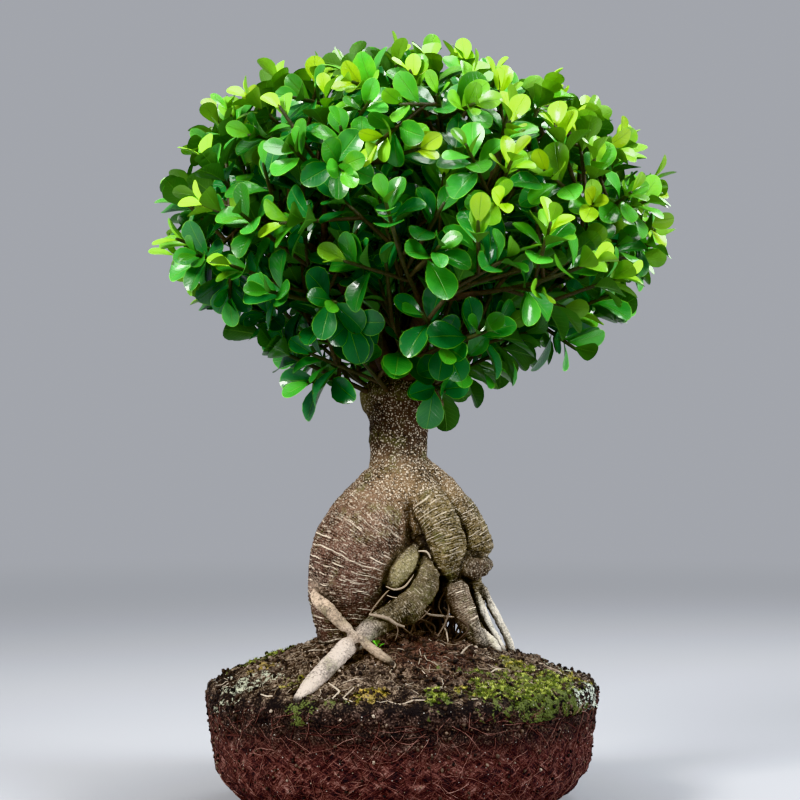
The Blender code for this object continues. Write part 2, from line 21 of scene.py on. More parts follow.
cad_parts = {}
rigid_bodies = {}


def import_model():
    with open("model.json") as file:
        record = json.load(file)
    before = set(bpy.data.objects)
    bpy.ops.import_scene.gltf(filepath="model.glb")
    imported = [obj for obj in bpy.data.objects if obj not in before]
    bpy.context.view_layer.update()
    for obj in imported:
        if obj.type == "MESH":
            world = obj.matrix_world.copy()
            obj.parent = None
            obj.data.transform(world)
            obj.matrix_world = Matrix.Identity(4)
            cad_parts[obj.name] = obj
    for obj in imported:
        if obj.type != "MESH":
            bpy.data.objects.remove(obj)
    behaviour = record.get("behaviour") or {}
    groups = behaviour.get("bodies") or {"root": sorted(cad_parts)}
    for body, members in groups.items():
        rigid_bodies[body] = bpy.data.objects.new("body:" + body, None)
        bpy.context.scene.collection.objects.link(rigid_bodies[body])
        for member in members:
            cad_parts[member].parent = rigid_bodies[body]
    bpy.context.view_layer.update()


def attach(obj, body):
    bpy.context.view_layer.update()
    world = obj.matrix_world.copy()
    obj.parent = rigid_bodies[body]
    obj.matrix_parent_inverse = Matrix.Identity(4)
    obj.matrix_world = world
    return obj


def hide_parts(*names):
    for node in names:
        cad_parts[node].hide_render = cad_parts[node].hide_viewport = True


LOG = logging.getLogger("ficus")
UP = Vector((0, 0, 1))
DOWN = Vector((0, 0, -1))
STEEP = 0.7
FULL_TURN = 2 * math.pi
GOLDEN_ANGLE = math.pi * (3 - math.sqrt(5))
BODY = "root"
Shape = tuple[list[Vector], list[tuple[int, ...]]]
Colour = tuple[float, float, float]
Stops = tuple[tuple[float, Colour], ...]


# Roots, as in the frame: each is a path of (x, y, z, radius) with its bark


class Bark(Enum):
    """The bark's colour on a kind of root, in linear light, with its rings, its pores and its lumps. The
    near-black one is painted shade over dark, soil-stained bark.
    """

    BULB = ((0.150, 0.083, 0.062), 1.0, 0.25, 1.0)
    NECK = ((0.068, 0.040, 0.025), 0.05, 0.80, 0.9)
    SHOULDER = ((0.235, 0.156, 0.086), 0.30, 1.0, 1.0)
    FOLD = ((0.190, 0.145, 0.066), 1.6, 0.25, 1.6)
    LOBE = ((0.120, 0.086, 0.062), 0.50, 0.45, 2.6)
    NUB = ((0.270, 0.235, 0.120), 0.15, 0.30, 0.9)
    CURVED = ((0.118, 0.092, 0.052), 0.60, 0.20, 2.3)
    LEG = ((0.240, 0.182, 0.130), 0.90, 0.35, 1.3)
    # Near black: painted shade in the hollow behind the nub and the curved root, over dark, soil-stained
    # bark.
    DARK = ((0.022, 0.015, 0.013), 0.20, 0.10, 2.2)
    PALE = ((0.640, 0.545, 0.470), 0.12, 0.30, 0.7)
    STRAP = ((0.380, 0.290, 0.210), 0.10, 0.15, 0.6)
    AMBER = ((0.960, 0.740, 0.550), 0.10, 0.10, 0.6)
    TOE = ((0.980, 0.900, 0.760), 0.05, 0.10, 0.6)

    @property
    def row(self) -> np.ndarray:
        """The colour, then how strongly rings, pores and lumps show."""
        colour, *strengths = self.value
        return np.array([*colour, *strengths])


@dataclass(frozen=True)
class Root:
    """A root: its bark above and below, its path of x, y, z and radius in millimetres, the point (x, z)
    that its rings fan out from, and the shares of its length between which its bark changes."""

    name: str
    upper: Bark
    lower: Bark
    millimetres: tuple[tuple[float, float, float, float], ...]
    fan: tuple[float, float] | None = None
    change: tuple[float, float] = (0.0, 1.0)

    @property
    def path(self) -> list[tuple[float, ...]]:
        """Its path in metres."""
        return [tuple(number / 1000 for number in row) for row in self.millimetres]


NECK = Root("neck", Bark.SHOULDER, Bark.NECK, (
    (0, 0, 212, 19), (-1, 0, 230, 30), (-1, 0, 243, 26),
    (-1, 0, 260, 22), (-1, 0, 284, 21.5), (0, 0, 299, 25),
    (2, 0, 312, 27.5), (3, 0, 325, 19)), None, (0.15, 0.55))
SWOLLEN_ROOTS = (
    Root("left_bulb", Bark.SHOULDER, Bark.BULB, (
        (2, 1, 254, 17), (-10, -2, 234, 25), (-20, -6, 211, 35),
        (-28, -8, 186, 39.5), (-35, -8, 159, 34), (-37, -6, 135, 27),
        (-37.5, -4, 113, 21)), (0.058, 0.150), (0.0, 0.6)),
    Root("front_fold", Bark.SHOULDER, Bark.FOLD, (
        (3, -4, 250, 15), (18, -14, 229, 17), (30, -22, 209, 15.5),
        (34.5, -24.5, 192, 14.5), (36.5, -23, 179, 10)), None, (0.10, 0.55)),
    Root("lower_lobe", Bark.LOBE, Bark.LOBE, (
        (34, -20, 186, 9.5), (46, -20, 181.5, 9.4), (57.5, -13, 180.5, 10), (62, -2, 183, 8.8))),
    Root("outer_fold", Bark.SHOULDER, Bark.FOLD, (
        (8, 1, 252, 15.5), (30, 0, 229, 18), (46, -2, 206, 20),
        (52.5, -2, 190, 16.8), (52.5, 1, 172, 9.5), (55, 2, 153, 7)), None, (0.15, 0.65)),
    Root("rear_bulb", Bark.SHOULDER, Bark.FOLD, (
        (4, 6, 254, 17), (7, 22, 228, 25), (8, 33, 200, 29),
        (6, 36, 172, 27), (3, 37, 146, 22), (1, 36, 114, 16))),
    # Its lower part is painted near black, as shade in the hollow behind the nub.
    Root("heart_root", Bark.SHOULDER, Bark.DARK, (
        (2, 2, 246, 20.5), (4, -2, 226, 21.5), (9, -8, 206, 19.5),
        (9, 0, 184, 17.5), (16, 6, 150, 18), (18, 8, 116, 20)), None, (0.36, 0.50)),
    Root("nub_root", Bark.CURVED, Bark.NUB, (
        (12, -21, 196, 8.5), (6, -29, 188, 10.2), (-1, -35.5, 177.5, 10.2),
        (-5.5, -37.5, 168, 6.8)), None, (0.0, 0.5)),
)
ROUND_ROOTS = (
    Root("prop_root", Bark.CURVED, Bark.PALE, (
        (14, -12, 196, 10), (19, -26, 181, 10.4), (16, -34, 165, 11.3),
        (5, -41, 152.5, 11.2), (-9, -48, 144.5, 9.2), (-23, -57, 136.5, 7.8),
        (-37, -69, 127, 7.4), (-53, -92, 112.5, 6.9), (-64, -109, 101.5, 6.2),
        (-70, -118, 94.5, 5.2), (-71.2, -119.5, 85, 4.2)), None, (0.42, 0.56)),
    Root("strap_root", Bark.AMBER, Bark.STRAP, (
        (-60, -22, 168, 5), (-59.5, -32, 158, 6), (-51, -46, 149.5, 5.4),
        (-38, -64, 138.5, 4.3), (-22, -75, 127, 3.6), (-6, -79, 115, 3.1),
        (1, -80, 104, 2.8)), None, (0.05, 0.45)),
    Root("right_leg", Bark.LEG, Bark.LEG, (
        (36, -12, 180, 9.5), (40, -18, 165, 10.6), (48, -20, 147, 9.2),
        (58.5, -18, 128, 8.2), (65, -16, 107, 6.4))),
    Root("leg_toe_front", Bark.LEG, Bark.TOE, (
        (52, -18, 144, 5), (62, -19, 132, 4.6), (71.5, -19, 118, 4.2),
        (75.5, -19, 104, 3.6)), None, (0.0, 0.3)),
    Root("leg_toe_middle", Bark.FOLD, Bark.TOE, (
        (54, -2, 164, 5), (64, -6, 140, 3.8), (75, -8, 120, 3.6), (80, -8, 104, 3)), None, (0.0, 0.3)),
    Root("leg_toe_outer", Bark.FOLD, Bark.TOE, (
        (55, 2, 172, 4.6), (68, 4, 150, 3.6), (80, 5, 127, 3.4), (87, 6, 104, 3)), None, (0.0, 0.4)),
    Root("rear_leg", Bark.FOLD, Bark.LEG, (
        (50, 8, 176, 10), (56, 18, 152, 8.2), (61, 27, 128, 7.4), (65, 33, 106, 6))),
    Root("rear_strap", Bark.CURVED, Bark.STRAP, (
        (-36, 18, 178, 7), (-41, 33, 158, 6.6), (-47, 51, 134, 5.6),
        (-52, 65, 110, 4.6), (-54, 70, 98, 3.6))),
    Root("left_knob", Bark.NECK, Bark.NUB, (
        (-9, 0, 292, 12.5), (-19, -2, 301, 10), (-24, -3, 311, 7))),
    Root("right_knob", Bark.NECK, Bark.NUB, (
        (10, -2, 291, 13), (22, -4, 299, 9.2), (29.5, -4, 304, 6)),
        None, (0.0, 0.6)),
)
SWOLLEN_SIDES = 12
ROUND_SIDES = 6


# Directions, and the shapes that the sprays are kept clear of, as in the frame


def clamp(value: float) -> float:
    """The value, kept from 0 to 1."""
    return max(0.0, min(1.0, value))


def ease(share: Any) -> Any:
    """A share from 0 to 1, or an array of them, made to start and end gently."""
    return share * share * (3 - 2 * share)


def between(first: float, second: float, share: float) -> float:
    """The number at a share of the way from the first to the second."""
    return first + (second - first) * share


def alternating(attempt: int) -> int:
    """0, -1, 1, -2, 2 and so on, for the attempts 0, 1, 2, 3, 4."""
    return (-1) ** attempt * ((attempt + 1) // 2)


def polar(radius: float, angle: float, z: float = 0.0) -> Vector:
    """The point at a distance from the upright axis, an angle round it and a height."""
    return Vector((radius * math.cos(angle), radius * math.sin(angle), z))


def perpendicular(direction: Vector) -> Vector:
    """A steady unit vector square to a direction."""
    helper = Vector((1, 0, 0)) if abs(direction.z) > STEEP else UP
    return direction.cross(helper).normalized()


def around(direction: Vector, turn: float) -> Vector:
    """The unit vector square to a direction, at an angle round it."""
    across = perpendicular(direction)
    return math.cos(turn) * across + math.sin(turn) * direction.cross(across)


def prism_faces(rings: int, sides: int) -> list[tuple[int, ...]]:
    """The faces of rings of points that are joined one to the next, with a flat face at each end.

    Args:
        rings: How many rings there are.
        sides: How many points each ring has.

    Returns:
        The faces.
    """
    faces = []
    for low in range(0, (rings - 1) * sides, sides):
        for side in range(sides):
            high, following = low + sides, (side + 1) % sides
            faces.append((low + side, low + following, high + following, high + side))
    last = (rings - 1) * sides
    return faces + [tuple(reversed(range(sides))), tuple(range(last, last + sides))]


def tube_shape(points: Iterable[Sequence[float]], radii: Sequence[float], sides: int,
               grow: float = 0.0) -> Shape:
    """A closed tube with flat ends along a path.

    Args:
        points: The path.
        radii: The radius at each point.
        sides: How many sides the tube has.
        grow: How far its surface is pushed out.

    Returns:
        Its vertices and faces.
    """
    path = [Vector(p) for p in points]
    steps = [(b - a).normalized() for a, b in zip(path, path[1:])]
    path[0] = path[0] - steps[0] * grow
    path[-1] = path[-1] + steps[-1] * grow
    across = perpendicular(steps[0])
    vertices = []
    for index, (point, radius) in enumerate(zip(path, radii)):
        before, after = steps[max(index - 1, 0)], steps[min(index, len(steps) - 1)]
        normal = (before + after).normalized()
        across = (across - normal * across.dot(normal)).normalized()
        other = normal.cross(across)
        for side in range(sides):
            turn = FULL_TURN * side / sides
            reach = math.cos(turn) * across + math.sin(turn) * other
            vertices.append(point + reach * (radius + grow))
    return vertices, prism_faces(len(path), sides)


def root_shape(root: Root, sides: int) -> Shape:
    """The plain tube of a root."""
    return tube_shape([p[:3] for p in root.path], [p[3] for p in root.path], sides)


@dataclass(frozen=True)
class Leaf:
    """One blade: where it starts on the twig, its directions and shape, and its place in the rosette."""

    base: Vector
    along: Vector
    across: Vector
    length: float
    arch: float
    spray: int
    twig: int
    index: int

    FLAT = 1e-6

    def centre(self, share: float) -> Vector:
        """The point on the midrib at a share of the length: an arc that bends away from the light.

        Args:
            share: The share of the length, from the base.

        Returns:
            The point.
        """
        turn, face = self.arch * share, self.across.cross(self.along)
        if turn < self.FLAT:
            return self.base + self.along * self.length * share
        radius = self.length / self.arch
        return self.base + radius * (math.sin(turn) * self.along - (1 - math.cos(turn)) * face)

    def face(self, share: float) -> Vector:
        """The blade's upward normal at a share of the length."""
        turn, face = self.arch * share, self.across.cross(self.along)
        return math.cos(turn) * face + math.sin(turn) * self.along


@dataclass
class Twig:
    """A leafy twig of a spray: its number, its path and its radii."""

    spray: int
    number: int
    path: list[Vector]
    radii: list[float]

    @property
    def tip(self) -> Vector:
        """The end of the twig."""
        return self.path[-1]

    @property
    def direction(self) -> Vector:
        """The direction in which the twig ends."""
        return (self.path[-1] - self.path[-2]).normalized()


class Thicket:
    """Everything placed so far, to keep each new twig and blade clear of it."""

    CELL = 0.05

    def __init__(self) -> None:
        """Starts empty."""
        self.cells: dict[tuple[int, int, int], list[int]] = {}
        self.entries: list[tuple[Any, Vector, float, BVHTree]] = []

    def _keys(self, vertices: Sequence[Vector]) -> set[tuple[int, int, int]]:
        """The cells that a shape's box meets.

        Args:
            vertices: The shape's vertices.

        Returns:
            The cells' keys.
        """
        low = [math.floor(min(v[axis] for v in vertices) / self.CELL) for axis in range(3)]
        high = [math.floor(max(v[axis] for v in vertices) / self.CELL) for axis in range(3)]
        return {(x, y, z) for x in range(low[0], high[0] + 1) for y in range(low[1], high[1] + 1)
                for z in range(low[2], high[2] + 1)}

    @staticmethod
    def _ball(vertices: Sequence[Vector]) -> tuple[Vector, float]:
        """The middle of a shape, and how far it reaches from there."""
        centre = sum(vertices, Vector()) / len(vertices)
        return centre, max((v - centre).length for v in vertices)

    def add(self, owner: Any, shape: Shape) -> None:
        """Adds a shape that belongs to an owner, such as a twig.

        Args:
            owner: What it belongs to.
            shape: The shape.
        """
        for key in self._keys(shape[0]):
            self.cells.setdefault(key, []).append(len(self.entries))
        self.entries.append((owner, *self._ball(shape[0]), BVHTree.FromPolygons(*shape, epsilon=0.0)))

    def forget(self, owner: Any) -> None:
        """Lets go of every shape of an owner.

        Args:
            owner: What the shapes belong to.
        """
        gone = {index for index, entry in enumerate(self.entries) if entry[0] == owner}
        for key, indices in self.cells.items():
            self.cells[key] = [index for index in indices if index not in gone]

    def crosses(self, shape: Shape, own: Sequence[Any] = ()) -> bool:
        """Whether a shape crosses anything that isn't one of its own carriers.

        Args:
            shape: The shape.
            own: Its carriers.

        Returns:
            Whether it does.
        """
        centre, reach = self._ball(shape[0])
        tree = BVHTree.FromPolygons(*shape, epsilon=0.0)
        near = {index for key in self._keys(shape[0]) for index in self.cells.get(key, ())}
        for index in near:
            owner, other, other_reach, other_tree = self.entries[index]
            if owner in own or (other - centre).length > reach + other_reach:
                continue
            if tree.overlap(other_tree):
                return True
        return False


# How the crown grows


@dataclass(frozen=True)
class Growth:
    """The rule by which limbs, stems, twigs and leaves grow. The sizes are the frame's own, and
    FINE_GROWTH gives those of the leaves and twigs that are seen."""

    gap: float = 0.0003
    centre: Vector = field(default_factory=lambda: Vector((0.011, 0, 0.428)))
    half_x: float = 0.200
    half_y: float = 0.180
    rise: float = 0.150
    drop: float = 0.124
    squareness: float = 2.3
    leaf_reach: float = 0.022
    limb_root: Vector = field(default_factory=lambda: Vector((0.002, 0, 0.306)))
    limb_count: int = 8
    limb_lowest_cosine: float = 0.02
    limb_share: float = 0.50
    limb_turn: float = 0.6
    limb_rise: float = 0.012
    limb_radius: float = 0.0085
    limb_tip_radius: float = 0.0040
    limb_overshoot: float = 1.06
    limb_sides: int = 6
    limb_steps: int = 12
    stub_radius: float = 0.0030
    stub_tip_radius: float = 0.0021
    shortest_stub: float = 0.010
    neck_fork: Vector = field(default_factory=lambda: Vector((0.001, 0, 0.299)))
    neck_stub: float = 0.033
    low_angle: float = math.radians(38)
    upper_sprays: int = 26
    lowest_cosine: float = -0.70
    skirt_turns: tuple[float, ...] = (-122, -62, 50, 150)
    skirt_cosine: float = -0.80
    spray_length: float = 0.080
    stem_share: float = 0.50
    stem_lift: float = 0.55
    lift_level: float = 0.6
    stem_slack: float = 1.15
    stem_flare: float = 0.0002
    stem_sway: float = 0.09
    stem_tries: int = 31
    twig_radius: float = 0.0018
    twig_tip_radius: float = 0.0014
    twig_share: float = 0.9
    twig_sides: int = 4
    twig_spread: float = math.radians(48)
    twig_lift: float = 0.2
    twig_starts: tuple[float, ...] = (0.35, 0.70)
    spray_turn: float = 1.1
    half_turns: float = 0.95
    try_turn: float = 0.7
    twig_tries: int = 9
    longest_twig: float = 0.052
    shortest_twig: float = 0.022
    twig_step: float = 0.003
    rosette: int = 7
    grown_leaves: tuple[int, ...] = (0, 2, 4)
    young_leaves: tuple[int, ...] = (5, 6)
    leaf_spacing: float = 0.0033
    leaf_drop: float = 0.5
    leaf_length: float = 0.0375
    top_share: float = 1.0
    young_share: float = 0.72
    width_share: float = 0.70
    leaf_thickness: float = 0.0007
    old_spread: float = math.radians(68)
    young_spread: float = math.radians(26)
    old_arch: float = math.radians(30)
    young_arch: float = math.radians(8)
    light_out: float = 0.6
    light_up: float = 0.8
    light_roll_share: float = 0.45
    most_roll: float = math.radians(30)
    stations: tuple[tuple[float, float], ...] = ((0.0, 0.075), (0.42, 0.80), (0.74, 1.0), (1.0, 0.40))
    clearance: float = 0.0004
    bend_tries: int = 7
    bend_step: float = math.radians(8)
    turn_step: float = math.radians(13)
    twig_turn: float = 1.3
    bud_length: float = 0.0065
    bud_radius: float = 0.0014
    bud_taper: float = 0.7
    bud_shares: tuple[float, float] = (0.3, 0.8)
    turn_play: tuple[float, float] = (-0.2, 0.2)
    spread_play: tuple[float, float] = (-0.12, 0.12)
    size_play: tuple[float, float] = (-0.10, 0.08)
    arch_play: tuple[float, float] = (-0.08, 0.08)
    young_tip_lowest: float = 0.415
    young_tip_every: int = 2
    lowest_leaf: float = 0.0

    @property
    def spray_count(self) -> int:
        """How many sprays the crown has."""
        return self.upper_sprays + len(self.skirt_turns)

    def crown_value(self, point: Vector, margin: float = 0.0) -> float:
        """Under 1 inside the crown's outline less a margin, and over 1 outside it.

        Args:
            point: The point.
            margin: How far inside the outline 1 is reached.

        Returns:
            The value.
        """
        offset = point - self.centre
        height = self.rise if offset.z > 0 else self.drop
        halves = (self.half_x - margin, self.half_y - margin, height - margin)
        return sum(abs(c / half) ** self.squareness for c, half in zip(offset, halves))

    def crown_point(self, direction: Vector, margin: float = 0.0) -> Vector:
        """The point of the crown's outline, less a margin, along a direction from its centre."""
        reach = self.crown_value(self.centre + direction, margin) ** (-1 / self.squareness)
        return self.centre + direction * reach

    @staticmethod
    def spread_direction(index: int, count: int, lowest: float, turn: float = 0.0) -> Vector:
        """One of `count` even directions over a sphere's cap that reaches down to a polar cosine.

        Args:
            index: Which of them.
            count: How many there are.
            lowest: The cosine of the lowest, from straight up.
            turn: How far they are all turned round the upright axis.

        Returns:
            The direction.
        """
        cosine = 1 - (1 - lowest) * (index + 0.5) / count
        return polar(math.sqrt(1 - cosine * cosine), index * GOLDEN_ANGLE + turn, cosine)

    def spray_direction(self, spray: int, sway: float) -> Vector:
        """The direction of a spray from the crown's centre: spread evenly, then a skirt round the neck.

        Args:
            spray: The spray's number.
            sway: How far it is turned out of its way.

        Returns:
            The direction.
        """
        if spray < self.upper_sprays:
            return self.spread_direction(spray, self.upper_sprays, self.lowest_cosine, sway)
        turn = math.radians(self.skirt_turns[spray - self.upper_sprays]) + sway
        return polar(math.sqrt(1 - self.skirt_cosine ** 2), turn, self.skirt_cosine)

    def limb_point(self, end: Vector, share: float) -> Vector:
        """A point on a limb that rises in an arc from the neck to its end."""
        bend = (self.limb_root + end) / 2 + UP * self.limb_rise
        return self.limb_root.lerp(bend, share).lerp(bend.lerp(end, share), share)

    def limb_ends(self) -> list[Vector]:
        """The outer ends of the limbs.

        Returns:
            One for each limb.
        """
        ends = []
        for index in range(self.limb_count):
            direction = self.spread_direction(
                index, self.limb_count, self.limb_lowest_cosine, self.limb_turn)
            ends.append(self.limb_root.lerp(self.crown_point(direction), self.limb_share))
        return ends

    def limb_shape(self, end: Vector) -> Shape:
        """The plain tube of one limb, from the top of the neck to a little past its end.

        Args:
            end: The limb's end.

        Returns:
            The tube.
        """
        path = [self.limb_point(end, share) for share in (0, 0.5, self.limb_overshoot)]
        radii = [self.limb_radius, (self.limb_radius + self.limb_tip_radius) / 2, self.limb_tip_radius]
        return tube_shape(path, radii, self.limb_sides)

    def stem_of(self, spray: int, ends: Sequence[Vector], attempt: int) -> tuple[Vector, Twig]:
        """A spray's stem, and the point of the wood that its stub leaves.

        Args:
            spray: The spray's number.
            ends: The ends of the limbs.
            attempt: How many ways of placing it have failed.

        Returns:
            The point and the stem.
        """
        sway = alternating(attempt) * self.stem_sway
        aim = self.crown_point(self.spray_direction(spray, sway), self.leaf_reach)
        root = self.limb_root
        end = min(ends, key=lambda e: (aim - root).angle(e - root))
        if spray >= self.upper_sprays or (aim - root).angle(end - root) > self.low_angle:
            fork, stub = self.neck_fork, self.neck_stub
        else:
            steps = self.limb_steps
            points = [self.limb_point(end, 1 - step / steps) for step in range(steps - 1)]
            far = self.spray_length + self.shortest_stub
            fork = next((p for p in points if (aim - p).length > far), points[-1])
            stub = self.shortest_stub
        heading = (aim - fork).normalized()
        start = aim - heading * min(self.spray_length, (aim - fork).length - stub)
        bend = start.lerp(aim, self.stem_share)
        lift = self.stem_lift * clamp((aim.z - self.centre.z) / self.drop + self.lift_level)
        rising = Vector((heading.x, heading.y, max(heading.z, 0) + lift)).normalized()
        tip = self.reached(bend, rising, (aim - bend).length * self.stem_slack)
        radii = [self.twig_radius + self.stem_flare, self.twig_radius, self.twig_tip_radius]
        return fork, Twig(spray, 0, [start + heading * self.gap, bend, tip], radii)

    def reached(self, start: Vector, heading: Vector, longest: float) -> Vector:
        """The end of a twig that stops where its leaves reach the crown's outline.

        Args:
            start: Where the twig starts.
            heading: Its direction.
            longest: How long it may be.

        Returns:
            Its end.
        """
        length = longest
        while length > self.shortest_twig and (
                self.crown_value(start + heading * length, self.leaf_reach) > 1):
            length -= self.twig_step
        return start + heading * length

    def stub_shape(self, fork: Vector, stem: Twig, grow: float = 0.0) -> Shape:
        """The stub of wood that a spray's stem goes on from.

        Args:
            fork: Where the stub leaves the wood.
            stem: The stem.
            grow: How far its surface is pushed out.

        Returns:
            The stub.
        """
        heading = (stem.path[1] - stem.path[0]).normalized()
        path = [fork, stem.path[0] - heading * self.gap]
        return tube_shape(path, [self.stub_radius, self.stub_tip_radius], self.twig_sides, grow)

    def twig_shape(self, twig: Twig, grow: float = 0.0) -> Shape:
        """The tube of a stem or a side twig."""
        return tube_shape(twig.path, twig.radii, self.twig_sides, grow)

    def side_twig(self, stem: Twig, number: int, start_share: float, turn: float,
                  spread: float | None = None) -> Twig:
        """A side twig of a spray.

        Args:
            stem: The stem that it leaves.
            number: Its number in the spray.
            start_share: How far towards the stem's bend it starts.
            turn: Its direction round the stem.
            spread: Its angle off the stem, or None for the usual one.

        Returns:
            The twig.
        """
        spread = self.twig_spread if spread is None else spread
        heading = (stem.path[1] - stem.path[0]).normalized()
        outward = around(heading, turn)
        start = stem.path[0].lerp(stem.path[1], start_share)
        away = math.cos(spread) * heading + math.sin(spread) * outward + UP * self.twig_lift
        tip = self.reached(start, away.normalized(), self.longest_twig)
        radii = [self.twig_radius * self.twig_share, self.twig_tip_radius]
        return Twig(stem.spray, number, [start, tip], radii)

    def leaf_of(self, twig: Twig, index: int, draw: random.Random, attempt: int) -> Leaf:
        """A leaf of a twig's rosette. Later attempts are turned and bent clear of their neighbours.

        Args:
            twig: The twig.
            index: The leaf's place in the rosette, the oldest first.
            draw: The source of its random draws.
            attempt: How many ways of placing it have failed.

        Returns:
            The leaf.
        """
        age = 1 - index / (self.rosette - 1)
        start = twig.tip - twig.direction * self.leaf_spacing * (
            self.young_leaves[0] + self.leaf_drop - index)
        if index in self.young_leaves:
            share = self.bud_shares[index - self.young_leaves[0]]
            start = twig.tip + twig.direction * self.bud_length * share
        turn = index * GOLDEN_ANGLE + twig.number * self.twig_turn + draw.uniform(*self.turn_play)
        turn += alternating(attempt) * self.turn_step
        spread = between(self.young_spread, self.old_spread, age) + draw.uniform(*self.spread_play)
        spread -= self.bend_step * (attempt // 2)
        radial = around(twig.direction, turn)
        along = math.cos(spread) * twig.direction + math.sin(spread) * radial
        width = radial.cross(twig.direction)
        width = Matrix.Rotation(self.light_roll(start, along, width), 3, along) @ width
        size = 1 - (1 - self.young_share) * (1 - age) + draw.uniform(*self.size_play)
        arch = between(self.young_arch, self.old_arch, age) + draw.uniform(*self.arch_play)
        length = self.length_at(start.z) * size
        return Leaf(start, along, width, length, arch, twig.spray, twig.number, index)

    def length_at(self, height: float) -> float:
        """The length of a grown leaf at a height: leaves are shorter towards the top."""
        share = (height - self.centre.z + self.drop) / (self.rise + self.drop)
        return self.leaf_length * (1 - (1 - self.top_share) * clamp(share))

    def light_roll(self, start: Vector, along: Vector, width: Vector) -> float:
        """How far a blade rolls on its midrib to face the light above and outside the crown.

        Args:
            start: Where the blade starts.
            along: The direction of its midrib.
            width: The direction across it.

        Returns:
            The angle.
        """
        outward = start - self.centre
        light = Vector((outward.x, outward.y, 0)).normalized() * self.light_out + UP * self.light_up
        light -= along * light.dot(along)
        face = width.cross(along)
        wanted = math.atan2(face.cross(light).dot(along), face.dot(light))
        return max(-self.most_roll, min(self.most_roll, wanted * self.light_roll_share))

    def blade_shape(self, leaf: Leaf, grow: float = 0.0) -> Shape:
        """A leaf's plain blade: flat across, arched along, with its edges cut square.

        Args:
            leaf: The leaf.
            grow: How far its surface is pushed out.

        Returns:
            The blade.
        """
        vertices = []
        for share, width_share in self.stations:
            half_width = leaf.length * self.width_share * width_share / 2 + grow
            half_thickness = self.leaf_thickness / 2 + grow
            centre, face = leaf.centre(share), leaf.face(share)
            for side, layer in ((1, 1), (-1, 1), (-1, -1), (1, -1)):
                vertices.append(centre + leaf.across * half_width * side + face * half_thickness * layer)
        return vertices, prism_faces(len(self.stations), 4)

    def has_young_tip(self, stem: Twig) -> bool:
        """Whether a spray ends in a separate tip of young leaves."""
        return stem.spray % self.young_tip_every == 0 and stem.tip.z > self.young_tip_lowest

    def bud_shape(self, stem: Twig) -> Shape:
        """The bud that goes on from the end of a spray's stem.

        Args:
            stem: The spray's stem.

        Returns:
            The bud.
        """
        base = stem.tip + stem.direction * self.gap
        path = [base, base + stem.direction * self.bud_length]
        return tube_shape(path, [self.bud_radius, self.bud_radius * self.bud_taper], self.twig_sides)

    def place_leaves(self, twig: Twig, indices: Iterable[int], own: Any,
                     thicket: Thicket) -> list[Leaf]:
        """The leaves of a rosette that can be placed clear of everything but their own carrier.

        Args:
            twig: The twig that carries them.
            indices: Their places in the rosette.
            own: Their carrier's name in the thicket.
            thicket: What they are kept clear of. They are added to it.

        Returns:
            The placed leaves.
        """
        placed = []
        for index in indices:
            for attempt in range(self.bend_tries):
                draw = random.Random(10000 * twig.spray + 100 * twig.number + index)
                leaf = self.leaf_of(twig, index, draw, attempt)
                if leaf.centre(1.0).z < self.lowest_leaf:
                    continue
                if not thicket.crosses(self.blade_shape(leaf, self.clearance), (own,)):
                    thicket.add("leaf", self.blade_shape(leaf))
                    placed.append(leaf)
                    break
        return placed


FINE_GROWTH = replace(
    Growth(), leaf_length=0.0365, top_share=0.80, width_share=0.68, lowest_leaf=0.302, bend_tries=9,
    old_spread=math.radians(62), young_spread=math.radians(18), clearance=0.0005, twig_lift=0.5,
    rosette=9, young_leaves=(7, 8), leaf_spacing=0.0027, young_share=0.62)


@dataclass
class Spray:
    """What one spray bears: its wood's fork, its twigs, its leaves and its young tip's leaves."""

    fork: Vector
    twigs: list[Twig]
    leaves: list[Leaf] = field(default_factory=list)
    young: list[Leaf] = field(default_factory=list)

    @property
    def stem(self) -> Twig:
        """The main stem."""
        return self.twigs[0]


